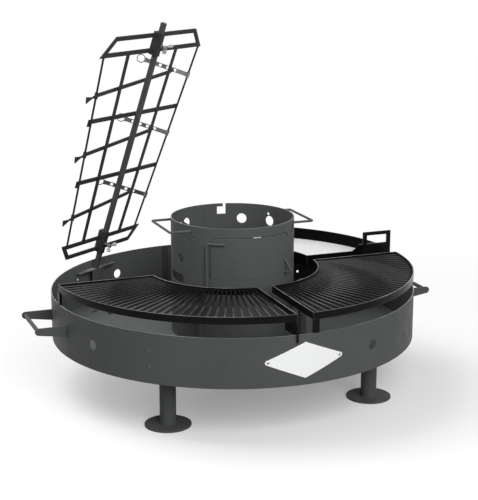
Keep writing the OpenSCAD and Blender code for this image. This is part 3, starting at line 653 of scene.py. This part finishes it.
class Piece:
    """Points and faces of one added piece."""

    def __init__(self):
        self.points = []
        self.faces = []

    def bead(self, path, facing, radius, closed=False, sides=8, steps=4):
        """Weld bead: ripples laid one after another along a path, bowed in the direction of travel."""
        ripple = bpy.context.scene.fire_pit_welds.ripple * radius
        marks = [0.0]
        ends = path + path[:1] if closed else path
        for a, b in zip(ends, ends[1:]):
            marks.append(marks[-1] + (b - a).length)
        faces = facing + facing[:1] if closed else facing
        count = max(2, round(marks[-1] / ripple)) * steps
        places, j = [], 0
        for i in range(count + (0 if closed else 1)):
            s = marks[-1] * i / count
            while j < len(marks) - 2 and marks[j + 1] < s:
                j += 1
            t = (s - marks[j]) / max(marks[j + 1] - marks[j], 1e-9)
            places.append((ends[j].lerp(ends[j + 1], t), faces[j].lerp(faces[j + 1], t)))
        total, base = len(places), len(self.points)
        for i, (p, out) in enumerate(places):
            before = places[(i - 1) % total] if closed else places[max(i - 1, 0)]
            after = places[(i + 1) % total] if closed else places[min(i + 1, total - 1)]
            along = (after[0] - before[0]).normalized()
            out = (out - along * out.dot(along)).normalized()
            across = along.cross(out)
            uneven = 0.05 * math.sin(12.9898 * (i // steps) + 4.1)
            height = radius * (1.0 - 0.2 * (i % steps) / steps + uneven)
            if not closed:
                height *= min(1.0, 0.35 + 0.65 * min(i, total - 1 - i) / steps)
            for k in range(sides):
                a = 2 * math.pi * k / sides
                lead = 0.45 * height * math.cos(a)
                self.points.append(p + along * lead + out * (height * math.cos(a)) + across * (height * math.sin(a)))
        rows = total if closed else total - 1
        for i in range(rows):
            a, b = base + i * sides, base + ((i + 1) % total) * sides
            for k in range(sides):
                n = (k + 1) % sides
                self.faces.append((a + k, a + n, b + n, b + k))
        if not closed:
            self.faces.append(tuple(base + k for k in reversed(range(sides))))
            self.faces.append(tuple(base + (total - 1) * sides + k for k in range(sides)))

    def line(self, a, b, out, radius, **more):
        """Straight weld bead from a to b."""
        self.bead([a, b], [out, out], radius, **more)

    def circle(self, place, radius, bead, lift, count=32, **more):
        """Round weld bead in a frame's xy plane. It faces outwards and up by the lift."""
        path, facing = [], []
        for i in range(count):
            a = 2 * math.pi * i / count
            path.append(place @ Vector((radius * math.cos(a), radius * math.sin(a), 0)))
            facing.append(place.to_3x3() @ Vector((math.cos(a), math.sin(a), lift)).normalized())
        self.bead(path, facing, bead, closed=True, **more)

    def thread(self, place, radius, low, high):
        """Thread on a shank along z of a frame: one ridge wound from low to high."""
        threads = bpy.context.scene.fire_pit_threads
        steps, pitch, depth = threads.segments, threads.pitch, threads.depth
        count = int((high - low - pitch) / pitch * steps)
        base = len(self.points)
        for i in range(count + 1):
            a = 2 * math.pi * i / steps
            z = low + pitch / 2 + pitch * i / steps
            rise = depth * min(1.0, i / 6, (count - i) / 6)
            for r, dz in ((radius * 0.96, -0.42), (radius + rise, -0.06), (radius + rise, 0.06), (radius * 0.96, 0.42)):
                self.points.append(place @ Vector((r * math.cos(a), r * math.sin(a), z + dz * pitch)))
        for i in range(count):
            a, b = base + 4 * i, base + 4 * i + 4
            for k in range(4):
                n = (k + 1) % 4
                self.faces.append((a + k, b + k, b + n, a + n))
        self.faces.append((base, base + 1, base + 2, base + 3))
        end = base + 4 * count
        self.faces.append((end + 3, end + 2, end + 1, end))

    def lathe(self, place, profile, count=40):
        """Closed ring turned from a profile of radius and height, round z of a frame."""
        base, width = len(self.points), len(profile)
        for i in range(count):
            a = 2 * math.pi * i / count
            for r, z in profile:
                self.points.append(place @ Vector((r * math.cos(a), r * math.sin(a), z)))
        for i in range(count):
            a, b = base + i * width, base + ((i + 1) % count) * width
            for k in range(width):
                n = (k + 1) % width
                self.faces.append((a + k, b + k, b + n, a + n))

    def rod(self, a, b, radius, sides=16, rounding=0.4):
        """Round bar from a to b, with its ends' edges rounded."""
        along = (b - a).normalized()
        u = along.orthogonal().normalized()
        v = along.cross(u)
        edge = radius * rounding
        rows = [(a, radius - edge), (a + along * edge, radius), (b - along * edge, radius), (b, radius - edge)]
        base = len(self.points)
        for p, r in rows:
            for k in range(sides):
                t = 2 * math.pi * k / sides
                self.points.append(p + u * (r * math.cos(t)) + v * (r * math.sin(t)))
        for i in range(len(rows) - 1):
            for k in range(sides):
                n = (k + 1) % sides
                low, high = base + i * sides, base + (i + 1) * sides
                self.faces.append((low + k, low + n, high + n, high + k))
        self.faces.append(tuple(base + k for k in reversed(range(sides))))
        self.faces.append(tuple(base + (len(rows) - 1) * sides + k for k in range(sides)))

    def build(self, name, key, body, slot, smooth=True):
        """Makes the object, gives it its finish and lets it ride on a body."""
        mesh = bpy.data.meshes.new(name)
        mesh.from_pydata([tuple(p) for p in self.points], [], self.faces)
        mesh.validate()
        mesh.materials.append(finish_material(key))
        if smooth:
            mesh.polygons.foreach_set("use_smooth", [True] * len(mesh.polygons))
        mesh.update()
        piece = bpy.data.objects.new(name, mesh)
        bpy.context.scene.collection.objects.link(piece)
        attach(piece, body)
        return piece


def on_wall(start, direction, bar_radius, wall_radius, count=24):
    """Closed curve where a round bar meets the upright round wall, with the way the bead faces there."""
    along = direction.normalized()
    u = along.orthogonal().normalized()
    v = along.cross(u)
    path, facing = [], []
    for i in range(count):
        a = 2 * math.pi * i / count
        side = u * math.cos(a) + v * math.sin(a)
        p = start + side * bar_radius
        qa = along.x**2 + along.y**2
        qb = 2 * (p.x * along.x + p.y * along.y)
        qc = p.x**2 + p.y**2 - wall_radius**2
        t = (-qb + math.sqrt(max(qb * qb - 4 * qa * qc, 0.0))) / (2 * qa)
        hit = p + along * t
        path.append(hit)
        facing.append((side + Vector((hit.x, hit.y, 0)).normalized()).normalized())
    return path, facing


def arc_path(radius, z, start, end, count, lift, inward=False):
    """Level arc round the drum's axis from one angle to another."""
    path, facing = [], []
    for i in range(count + 1):
        a = start + (end - start) * i / count
        path.append(at(a, radius, z))
        out = at(a, -1.0 if inward else 1.0)
        out.z = lift
        facing.append(out.normalized())
    return path, facing


class FirePitStep:
    """What the steps have in common."""

    bl_options = {"REGISTER"}

    @staticmethod
    def welds():
        return bpy.context.scene.fire_pit_welds


class FIREPIT_OT_drum(FirePitStep, bpy.types.Operator):
    """Paints the drum and welds its seam, its floor and the rack's socket"""

    bl_idname = "firepit.drum"
    bl_label = "Drum"

    def execute(self, context):
        paint_nodes("drum paint", "drum_wall", "rack_bracket")
        paint_nodes("inside paint", "drum_seam_strip")
        # The drum's floor gets the lighter copy of the inside paint: painted light.
        paint_nodes("floor paint with painted light", "drum_floor")
        # Inner faces of the drum wall get the lighter copy of the paint: painted light.
        finish_faces("drum_wall", "drum inside paint with painted light", lambda normal, centre: normal.xy.dot(centre.xy) < -0.1 * DRUM_R)
        # Light top edge of the drum's rim: partly rubbed paint, partly a painted highlight.
        rub_and_highlight_rim("drum_wall", RIM_Z)
        shelf_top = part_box("rack_bracket")[1].z
        # Light top edge of the rack's shelf: partly rubbed paint, partly a painted highlight.
        finish_faces("rack_bracket", "rubbed and highlit edge", lambda normal, centre: normal.z > 0.9 and centre.z > shelf_top - 0.0005)
        welds = self.welds()
        seam = Piece()
        inner = DRUM_R - SHEET
        for radius, facing in ((DRUM_R - 0.0009, 1.0), (inner + 0.0009, -1.0)):
            seam.line(
                at(180, radius, DRUM_BOTTOM + 0.001), at(180, radius, RIM_Z - 0.001), at(180, facing), welds.bead * 0.8
            )
        path, facing = arc_path(inner - 0.0004, FLOOR_Z + 0.0004, 0, 358, 180, 1.0, inward=True)
        seam.bead(path, facing, welds.bead, closed=True, steps=3)
        shelf_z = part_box("rack_bracket")[1].z
        half = math.degrees(math.asin(0.098 / inner))
        middle = math.degrees(RACK_ANGLE)
        path, facing = arc_path(inner - 0.0004, shelf_z + 0.0002, middle - half, middle + half, 24, 1.0, inward=True)
        seam.bead(path, facing, welds.bead * 0.8)
        seam.build("drum_weld_beads", "drum weld paint", "drum", "drum_steel")
        return {"FINISHED"}


def leg_places():
    """Middle of each leg on the ground."""
    return [at(a, LEG_CIRCLE_R) for a in (45, 135, -135, -45)]


def leg_bolt_places():
    """Axis of each flange bolt on the ground."""
    places = []
    for angle in (45, 135, -135, -45):
        turn = Matrix.Rotation(math.radians(angle), 4, "Z")
        for step in range(4):
            a = math.radians(45 + 90 * step)
            spot = Vector((FLANGE_BOLT_CIRCLE_R * math.cos(a), -LEG_CIRCLE_R + FLANGE_BOLT_CIRCLE_R * math.sin(a), 0))
            places.append(turn @ spot)
    return places


class FIREPIT_OT_legs(FirePitStep, bpy.types.Operator):
    """Paints the legs, welds them to their feet and flanges, and adds the bolts' washers and threads"""

    bl_idname = "firepit.legs"
    bl_label = "Legs"

    def execute(self, context):
        names = [f"leg_{part}_{place}" for part in ("tube", "foot", "flange")
                 for place in ("right_front", "right_back", "left_back", "left_front")]
        paint_nodes("drum paint", *names)
        paint_nodes("zinc plating", "leg_bolts")
        beads = Piece()
        for spot in leg_places():
            foot = Matrix.Translation(spot + Vector((0, 0, FOOT_T)))
            flange = Matrix.Translation(spot + Vector((0, 0, DRUM_BOTTOM - FOOT_T)))
            beads.circle(foot, LEG_R, self.welds().bead, 1.0, 48)
            beads.circle(flange, LEG_R, self.welds().bead, -1.0, 48)
        beads.build("leg_weld_beads", "drum weld paint", "drum", "drum_steel")
        washers, threads = Piece(), Piece()
        ring = [(BOLT_R * 0.9, 0.0), (0.0094, 0.0), (0.0097, 0.0004), (0.0097, 0.0011), (0.0094, 0.0014), (BOLT_R * 0.9, 0.0014)]
        for spot in leg_bolt_places():
            washers.lathe(Matrix.Translation(spot + Vector((0, 0, FLOOR_Z))), ring)
            washers.lathe(Matrix.Translation(spot + Vector((0, 0, DRUM_BOTTOM - FOOT_T - 0.0014))), ring)
            threads.thread(Matrix.Translation(spot), BOLT_R - 0.0004, FLOOR_Z + 0.0062, FLOOR_Z + 0.0094)
        washers.build("leg_bolt_washers", "zinc plating", "drum", "zinc", smooth=False)
        threads.build("leg_bolt_threads", "zinc plating", "drum", "zinc")
        return {"FINISHED"}


class FIREPIT_OT_side_handles(FirePitStep, bpy.types.Operator):
    """Paints the two side handles and welds their arms and grips"""

    bl_idname = "firepit.side_handles"
    bl_label = "Side handles"

    def execute(self, context):
        paint_nodes(
            "drum paint",
            "side_handle_arms_right",
            "side_handle_arms_left",
            "side_handle_grip_right",
            "side_handle_grip_left",
        )
        beads = Piece()
        root_z, half_h, grip_z = DRUM_BOTTOM + 0.0826, 0.0188, DRUM_BOTTOM + 0.091
        for turn in (0, math.pi):
            place = Matrix.Rotation(turn, 4, "Z")
            for s in (-1, 1):
                for side in (-1, 1):
                    y = s * HANDLE_HALF + side * HANDLE_ARM_T / 2
                    x = math.sqrt(DRUM_R**2 - y * y)
                    out = place.to_3x3() @ Vector((1, side, 0)).normalized()
                    beads.line(
                        place @ Vector((x, y, root_z - half_h)), place @ Vector((x, y, root_z + half_h)), out, self.welds().bead
                    )
                end = Matrix.Translation((DRUM_R + HANDLE_REACH, s * (HANDLE_HALF - HANDLE_ARM_T / 2), grip_z))
                inner = place @ end @ Matrix.Rotation(s * math.pi / 2, 4, "X")
                beads.circle(inner, GRIP_R, self.welds().fine_bead, 1.0, 24)
        beads.build("side_handle_weld_beads", "drum weld paint", "drum", "drum_steel")
        return {"FINISHED"}


class FIREPIT_OT_front_plate(FirePitStep, bpy.types.Operator):
    """Brushes the bare front plate and plates its two rivets"""

    bl_idname = "firepit.front_plate"
    bl_label = "Front plate"

    def execute(self, context):
        paint_nodes("bare stainless", "front_plate")
        paint_nodes("zinc plating", "front_plate_rivets")
        return {"FINISHED"}


class FIREPIT_OT_posts(FirePitStep, bpy.types.Operator):
    """Paints the inner posts and their saddles and welds them to the drum's floor"""

    bl_idname = "firepit.posts"
    bl_label = "Inner posts"

    def execute(self, context):
        paint_nodes("inside paint", "inner_posts", "post_saddles")
        beads = Piece()
        for angle in (45, 135, -45):
            beads.circle(Matrix.Translation(at(angle, POST_CIRCLE_R, FLOOR_Z)), POST_R, self.welds().bead, 1.0, 36)
            top = 0.350 if angle == 135 else GRATE_TOP - BAND_H
            beads.circle(
                Matrix.Translation(at(angle, POST_CIRCLE_R, top - 0.00405)), POST_R, self.welds().fine_bead, -1.0, 36
            )
        beads.build("post_weld_beads", "inside paint", "drum", "dark_steel")
        return {"FINISHED"}


class FIREPIT_OT_fire_ring(FirePitStep, bpy.types.Operator):
    """Paints the fire ring with its handles and hinge sleeves, and welds them on"""

    bl_idname = "firepit.fire_ring"
    bl_label = "Fire ring"

    def execute(self, context):
        # The ring, its handles and sleeves get the lighter copy of the drum paint: painted light.
        paint_nodes("ring paint with painted light", "ring_wall", "ring_handle_right", "ring_handle_left", "hinge_sleeves")
        # Light top edge of the ring: partly rubbed paint, partly a painted highlight.
        rub_and_highlight_rim("ring_wall", RING_HIGH.z)
        welds = self.welds()
        beads = Piece()
        handle_z = RING_HIGH.z - 0.0177
        for x_sign in (-1, 1):
            for y in (-0.095, 0.095):
                path, facing = on_wall(Vector((0, y, handle_z)), Vector((x_sign, 0, 0)), 0.004, RING_R)
                beads.bead(path, facing, welds.fine_bead * 1.2, closed=True, steps=3)
        seam_low, seam_high = RING_LOW.z + 0.001, RING_HIGH.z - 0.001
        for radius, facing in ((RING_R - 0.0009, 1.0), (RING_R - SHEET + 0.0009, -1.0)):
            beads.line(at(-172, radius, seam_low), at(-172, radius, seam_high), at(-172, facing), welds.bead * 0.7)
        hinge = -math.degrees(math.asin(0.133 / 0.2034)) - 0.5
        for low in (GRATE_TOP - 0.090, GRATE_TOP - 0.048):
            for side in (-1, 1):
                spot = at(hinge, RING_R, low + 0.001, -0.010 + side * 0.0072)
                spot.xy = spot.xy.normalized() * RING_R
                top = spot + Vector((0, 0, 0.018))
                out = (at(hinge, 1.0) + at(hinge, 0.0, 0.0, side)).normalized()
                beads.line(spot, top, out, welds.fine_bead * 1.2)
        beads.build("fire_ring_weld_beads", "drum weld paint", "fire_ring", "drum_steel")
        return {"FINISHED"}


class FIREPIT_OT_door(FirePitStep, bpy.types.Operator):
    """Paints the door with its hinge rod and bent handle, and welds them on"""

    bl_idname = "firepit.door"
    bl_label = "Door"

    def execute(self, context):
        # The door gets the lighter copy of the drum paint: painted light.
        paint_nodes("ring paint with painted light", "door_panel", "door_hinge_rod", "door_handle")
        welds = self.welds()
        beads = Piece()
        low = GRATE_TOP + 0.0035 + 0.0045
        out = at(35, 1.0)
        path, facing = on_wall(at(35, RING_R - 0.009, low), out, 0.0035, RING_R)
        beads.bead(path, facing, welds.fine_bead * 1.1, closed=True, steps=3)
        high = at(35, RING_R - 0.009, low + (0.032 + 0.009) * 4 / 3)
        slope = Vector((out.x * 3, out.y * 3, -4)).normalized()
        path, facing = on_wall(high, slope, 0.0035, RING_R)
        beads.bead(path, facing, welds.fine_bead * 1.1, closed=True, steps=3)
        hinge = -math.degrees(math.asin(0.133 / 0.2034)) - 0.5
        top = RING_HIGH.z - 0.0327 - 0.018
        for side in (-1, 1):
            path, facing = arc_path(RING_R + 0.0006, top + side * 0.0026, hinge + 6.3, hinge + 12.7, 12, side * 1.0)
            beads.bead(path, facing, welds.fine_bead, steps=3)
        beads.build("door_weld_beads", "drum weld paint", "door", "drum_steel")
        return {"FINISHED"}


def quadrant_corners(inner, outer, side):
    """The four corners of a quadrant piece in plan, before it is turned to its place."""
    far, near = math.sqrt(outer**2 - side**2), math.sqrt(inner**2 - side**2)
    return [Vector((side, -near, 0)), Vector((side, -far, 0)), Vector((far, -side, 0)), Vector((near, -side, 0))]


class FIREPIT_OT_grates(FirePitStep, bpy.types.Operator):
    """Enamels the two grates, lays their round bars and welds bars and corners"""

    bl_idname = "firepit.grates"
    bl_label = "Grates"

    def execute(self, context):
        for side, turn in (("left", -90), ("right", 0)):
            place = Matrix.Rotation(math.radians(turn), 4, "Z")
            paint_nodes("black enamel", f"grate_{side}_frame", f"grate_{side}_supports")
            # Light top edge of the grate's band: partly rubbed enamel, partly a painted highlight.
            rub_and_highlight_rim(f"grate_{side}_frame", GRATE_TOP, "rubbed and highlit enamel edge")
            self.bars(side, place)
            self.weld(side, place)
        return {"FINISHED"}

    @staticmethod
    def bar_ends():
        """Near and far end of each bar on the bands' inner faces, in plan, and the way from near to far."""
        for i in range(BAR_COUNT):
            step = i - (BAR_COUNT - 1) / 2
            near, far = (
                Vector((radius * math.sin(angle), -radius * math.cos(angle), BAR_Z))
                for radius, angle in (
                    (GRATE_INNER_R + BAND_T, math.pi / 4 + step * BAR_NEAR_STEP),
                    (GRATE_R - BAND_T, math.pi / 4 + step * BAR_FAR_STEP),
                )
            )
            yield near, far, (far - near).normalized()

    def bars(self, side, place):
        """Round bars that run out from the fire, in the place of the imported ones."""
        rods = Piece()
        for near, far, way in self.bar_ends():
            rods.rod(place @ near, place @ far, BAR_R, rounding=0.1)
        piece = rods.build(f"grate_{side}_rods", "bar enamel", f"grate_{side}", "black_enamel")
        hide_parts(f"grate_{side}_bars")

    def weld(self, side, place):
        """Corner beads and the round beads at the bars' ends."""
        rot = place.to_3x3()
        fine = self.welds().fine_bead
        beads = Piece()
        outs = [Vector((-1, 1, 0)), Vector((-1, -1, 0)), Vector((1, 1, 0)), Vector((-1, 1, 0))]
        for corner, out in zip(quadrant_corners(GRATE_INNER_R, GRATE_R, GRATE_SIDE), outs):
            out = rot @ out.normalized()
            a = place @ corner - out * fine * 0.55
            beads.line(
                a + Vector((0, 0, GRATE_TOP - BAND_H + 0.001)), a + Vector((0, 0, GRATE_TOP - 0.001)), out, fine
            )
        for near, far, way in self.bar_ends():
            for spot, out in ((near, way), (far, -way)):
                across = Vector((-out.y, out.x, 0))
                path, facing = [], []
                for k in range(9):
                    t = math.pi + math.pi * k / 8
                    ray = across * math.cos(t) + Vector((0, 0, math.sin(t)))
                    path.append(place @ (spot + out * 0.0002 + ray * BAR_R))
                    facing.append(rot @ (ray + out).normalized())
                beads.bead(path, facing, fine * 0.8, sides=6, steps=3)
        beads.build(f"grate_{side}_weld_beads", "black enamel", f"grate_{side}", "black_enamel")


class FIREPIT_OT_griddle(FirePitStep, bpy.types.Operator):
    """Enamels the griddle with its loops and supports, and welds its corners"""

    bl_idname = "firepit.griddle"
    bl_label = "Griddle"

    def execute(self, context):
        paint_nodes("black enamel", "griddle_loops", "griddle_supports")
        paint_nodes("tray enamel", "griddle_pan")
        face_z = GRATE_TOP - 0.02
        # The cooking face gets the pale finish with its painted reflection.
        finish_faces("griddle_pan", "cooking face", lambda normal, centre: normal.z > 0.9 and centre.z < face_z)
        # Light top edge of the griddle's pan: partly rubbed enamel, partly a painted highlight.
        rub_and_highlight_rim("griddle_pan", GRATE_TOP, "rubbed and highlit enamel edge")
        fine = self.welds().fine_bead
        place = Matrix.Rotation(math.pi / 2, 4, "Z")
        rot = place.to_3x3()
        beads = Piece()
        low, high = 0.350, GRATE_TOP
        outs = [Vector((-1, 1, 0)), Vector((-1, -1, 0)), Vector((1, 1, 0)), Vector((-1, 1, 0))]
        for corner, out in zip(quadrant_corners(GRATE_INNER_R + 0.0015, DRUM_R - 0.010, GRATE_SIDE + 0.005), outs):
            out = rot @ out.normalized()
            a = place @ corner - out * fine * 0.55
            beads.line(a + Vector((0, 0, low + 0.001)), a + Vector((0, 0, high)), out, fine)
        beads.build("griddle_weld_beads", "black enamel", "griddle", "black_enamel")
        return {"FINISHED"}


class FIREPIT_OT_rack_mast(FirePitStep, bpy.types.Operator):
    """Paints the rack's square spine"""

    bl_idname = "firepit.rack_mast"
    bl_label = "Rack mast"

    def execute(self, context):
        paint_nodes("spine paint", "rack_spine")
        return {"FINISHED"}


class FIREPIT_OT_rack_frame(FirePitStep, bpy.types.Operator):
    """Paints the rack's frame, plates its nuts and welds every crossing"""

    bl_idname = "firepit.rack_frame"
    bl_label = "Rack frame"

    def execute(self, context):
        paint_nodes(
            "rack paint", "rack_sleeves", "rack_top_loop", "rack_bottom_loop", "rack_side_rods", "rack_uprights", "rack_crossbars"
        )
        paint_nodes("zinc plating", "rack_nuts")
        fine = self.welds().fine_bead
        place = rack_place()
        rot = place.to_3x3()
        beads = Piece()

        def line(a, b, out, radius=fine):
            beads.line(place @ Vector(a), place @ Vector(b), rot @ Vector(out).normalized(), radius)

        for s in (-1, 1):
            for v in CROSS_V:
                u = s * upright_at(v)
                for side in (-1, 1):
                    line((u + side * 0.006, FLAT_BACK, v - 0.0062), (u + side * 0.006, FLAT_BACK, v + 0.0062), (side, 1, 0))
                u = s * rod_at(v)
                for side in (-1, 1):
                    line(
                        (u + side * 0.0026, FLAT_BACK + 0.0006, v - 0.0062),
                        (u + side * 0.0026, FLAT_BACK + 0.0006, v + 0.0062),
                        (side, 0.6, 0),
                    )
            for v, up in ((ROD_V[0], 1), (ROD_V[1], -1)):
                u = s * upright_at(v)
                for y, way in ((FLAT_FRONT - 0.0006, 1), (FLAT_BACK + 0.0006, -1)):
                    line((u - 0.0055, y, v), (u + 0.0055, y, v), (0, way, 0))
                end = place @ Matrix.Translation((s * rod_at(v), ROD_D, v))
                beads.circle(end, ROD_R, fine, up * 1.0, 20, steps=3)
            for low, high in LOOP_FLATS:
                for y, way in ((FLAT_FRONT, 1), (FLAT_BACK, -1)):
                    line((s * SLEEVE_OUT, y, low + 0.0005), (s * SLEEVE_OUT, y, high - 0.0005), (s, way, 0))
        for i in (0, 1):
            middle = SLEEVE_V[i] + SLEEVE_LEN[i] / 2
            nut = place @ Matrix.Translation((0, SPINE_D + SLEEVE_OUT, middle)) @ Matrix.Rotation(-math.pi / 2, 4, "X")
            beads.circle(nut, 0.0069, fine * 0.8, 1.0, 24, steps=3)
        beads.build("rack_weld_beads", "rack weld paint", "rack_frame", "rack_steel")
        return {"FINISHED"}


class FIREPIT_OT_clamps(FirePitStep, bpy.types.Operator):
    """Paints the clamp arms, plates the ring straps and welds both to their knuckles"""

    bl_idname = "firepit.clamps"
    bl_label = "Clamps"

    def execute(self, context):
        fine = self.welds().fine_bead
        for i, level in enumerate(("low", "middle", "top")):
            paint_nodes("rack paint", f"clamp_arm_{level}")
            paint_nodes("zinc plating", f"ring_strap_{level}")
            place = rod_place(-1, STRAP_V[i]) @ Matrix.Rotation(-math.radians(STRAP_ANGLE[i]), 4, "Z")
            beads = Piece()
            for side in (-1, 1):
                x, y = 0.0059, side * 0.00125
                out = place.to_3x3() @ Vector((0.5, side, 0)).normalized()
                beads.line(place @ Vector((x, y, -0.007)), place @ Vector((x, y, 0.007)), out, fine)
            beads.build(f"strap_{level}_weld_beads", "zinc plating", f"strap_{level}", "zinc")
        return {"FINISHED"}


class FIREPIT_OT_wing_screws(FirePitStep, bpy.types.Operator):
    """Plates the two wing screws and cuts their threads"""

    bl_idname = "firepit.wing_screws"
    bl_label = "Wing screws"

    def execute(self, context):
        for i, level in enumerate(("low", "top")):
            paint_nodes("zinc plating", f"wing_screw_{level}")
            middle = SLEEVE_V[i] + SLEEVE_LEN[i] / 2
            place = rack_place() @ Matrix.Translation((0, SPINE_D + SLEEVE_OUT, middle)) @ Matrix.Rotation(-math.pi / 2, 4, "X")
            threads = Piece()
            threads.thread(place, 0.004, 0.0066, 0.0142)
            threads.build(f"wing_screw_{level}_thread", "zinc plating", f"screw_{level}", "zinc")
        return {"FINISHED"}


def soft_lamp(name, spot, target, size, power):
    """Square soft lamp that points at a target."""
    lamp = bpy.data.lights.new(name, "AREA")
    lamp.shape = "RECTANGLE"
    lamp.size, lamp.size_y = size
    lamp.energy = power
    holder = bpy.data.objects.new(name, lamp)
    holder.location = spot
    holder.rotation_euler = (Vector(target) - Vector(spot)).to_track_quat("-Z", "Y").to_euler()
    bpy.context.scene.collection.objects.link(holder)
    return holder


def seen_directly(tree):
    """One for rays from the camera, from a mirror or through glass, and nothing for plain light."""
    path = add_node(tree, "ShaderNodeLightPath")
    first = add_node(tree, "ShaderNodeMath", operation="MAXIMUM")
    tree.links.new(path.outputs["Is Camera Ray"], first.inputs[0])
    tree.links.new(path.outputs["Is Glossy Ray"], first.inputs[1])
    second = add_node(tree, "ShaderNodeMath", operation="MAXIMUM")
    tree.links.new(first.outputs["Value"], second.inputs[0])
    tree.links.new(path.outputs["Is Transmission Ray"], second.inputs[1])
    return second.outputs["Value"]


class FIREPIT_OT_stage(FirePitStep, bpy.types.Operator):
    """Lays the pale floor, hangs the soft lamps and places the camera"""

    bl_idname = "firepit.stage"
    bl_label = "Studio"

    def execute(self, context):
        scene, studio = context.scene, context.scene.fire_pit_studio
        self.lay_floor(studio)
        self.light_room(scene, studio)
        soft_lamp("key lamp", (0.3, -4.8, 3.4), (0, 0, 0.3), (4.2, 4.2), studio.key_power)
        soft_lamp("top lamp", (-1.7, 1.6, 3.8), (-0.1, 0.1, 0.2), (3.2, 3.2), studio.top_power)
        camera = bpy.data.cameras.new("camera")
        camera.lens, camera.sensor_width, camera.sensor_fit = studio.camera_lens, 36.0, "AUTO"
        camera.clip_end = 200.0
        holder = bpy.data.objects.new("camera", camera)
        turn, dip = studio.camera_turn, studio.camera_dip
        look = Vector((-math.sin(turn) * math.cos(dip), math.cos(turn) * math.cos(dip), -math.sin(dip)))
        holder.location = studio.camera_place
        holder.rotation_euler = look.to_track_quat("-Z", "Y").to_euler()
        scene.collection.objects.link(holder)
        scene.camera = holder
        scene.view_settings.view_transform = "Standard"
        return {"FINISHED"}

    def lay_floor(self, studio):
        """Pale floor that keeps the shadow near the grill and runs out to white."""
        mesh = bpy.data.meshes.new("studio floor")
        count, rings = 96, (0.0, 1.0, 2.0, 4.0, 8.0, 16.0, 40.0)
        points = [(0, 0, 0)]
        for r in rings[1:]:
            points += [(r * math.cos(2 * math.pi * i / count), r * math.sin(2 * math.pi * i / count), 0) for i in range(count)]
        faces = [(0, 1 + i, 1 + (i + 1) % count) for i in range(count)]
        for k in range(len(rings) - 2):
            a, b = 1 + k * count, 1 + (k + 1) * count
            faces += [(a + i, b + i, b + (i + 1) % count, a + (i + 1) % count) for i in range(count)]
        mesh.from_pydata(points, [], faces)
        material = bpy.data.materials.new("studio floor")
        material.use_nodes = True
        tree = material.node_tree
        tree.nodes.clear()
        place = add_node(tree, "ShaderNodeTexCoord").outputs["Object"]
        middle = add_node(tree, "ShaderNodeVectorMath", {0: place}, {1: (0.3, -0.6, 0.0)}, operation="SUBTRACT")
        length = add_node(tree, "ShaderNodeVectorMath", {0: middle.outputs[0]}, operation="LENGTH").outputs["Value"]
        direct = seen_directly(tree)
        fade = multiply(tree, remap(tree, length, 0.6, 2.3, studio.shadow_lift, 1.0), direct)
        colour = blend_colours(tree, direct, shade(studio.floor_colour, 0.35), tuple(studio.floor_colour))
        matte = add_node(tree, "ShaderNodeBsdfDiffuse", {"Color": colour})
        white = add_node(tree, "ShaderNodeEmission", None, {"Color": (1, 1, 1, 1), "Strength": 1.0})
        mix = add_node(tree, "ShaderNodeMixShader", {0: fade, 1: matte.outputs["BSDF"], 2: white.outputs["Emission"]})
        add_node(tree, "ShaderNodeOutputMaterial", {"Surface": mix.outputs["Shader"]})
        mesh.materials.append(material)
        floor = bpy.data.objects.new("studio_floor", mesh)
        bpy.context.scene.collection.objects.link(floor)

    def light_room(self, scene, studio):
        """Even light from all sides, white where it is seen directly."""
        world = bpy.data.worlds.new("studio room")
        world.use_nodes = True
        scene.world = world
        tree = world.node_tree
        tree.nodes.clear()
        dim = add_node(tree, "ShaderNodeBackground", None, {"Color": (1, 1, 1, 1), "Strength": studio.room_light})
        white = add_node(tree, "ShaderNodeBackground", None, {"Color": (1, 1, 1, 1), "Strength": 1.0})
        mix = add_node(
            tree, "ShaderNodeMixShader", {0: seen_directly(tree), 1: dim.outputs["Background"], 2: white.outputs["Background"]}
        )
        add_node(tree, "ShaderNodeOutputWorld", {"Surface": mix.outputs["Shader"]})


STEPS = (
    FIREPIT_OT_drum,
    FIREPIT_OT_legs,
    FIREPIT_OT_side_handles,
    FIREPIT_OT_front_plate,
    FIREPIT_OT_posts,
    FIREPIT_OT_fire_ring,
    FIREPIT_OT_door,
    FIREPIT_OT_grates,
    FIREPIT_OT_griddle,
    FIREPIT_OT_rack_mast,
    FIREPIT_OT_rack_frame,
    FIREPIT_OT_clamps,
    FIREPIT_OT_wing_screws,
    FIREPIT_OT_stage,
)

SETTINGS = {
    "fire_pit_finish": FirePitFinish,
    "fire_pit_welds": FirePitWelds,
    "fire_pit_threads": FirePitThreads,
    "fire_pit_studio": FirePitStudio,
}


class FIREPIT_PT_panel(bpy.types.Panel):
    """Lists the settings and the steps"""

    bl_idname = "FIREPIT_PT_panel"
    bl_label = "Fire Pit Grill"
    bl_space_type = "VIEW_3D"
    bl_region_type = "UI"
    bl_category = "Fire Pit"

    def draw(self, context):
        for key, group in SETTINGS.items():
            box = self.layout.box()
            for name in group.__annotations__:
                box.prop(getattr(context.scene, key), name)
        for step in STEPS:
            self.layout.operator(step.bl_idname)


def register():
    for item in (*SETTINGS.values(), *STEPS, FIREPIT_PT_panel):
        bpy.utils.register_class(item)
    for key, group in SETTINGS.items():
        setattr(bpy.types.Scene, key, PointerProperty(type=group))


def unregister():
    for key in SETTINGS:
        delattr(bpy.types.Scene, key)
    for item in reversed((*SETTINGS.values(), *STEPS, FIREPIT_PT_panel)):
        bpy.utils.unregister_class(item)


def main():
    register()
    for step in STEPS:
        group, name = step.bl_idname.split(".")
        getattr(getattr(bpy.ops, group), name)()


if __name__ == "__main__":
    main()
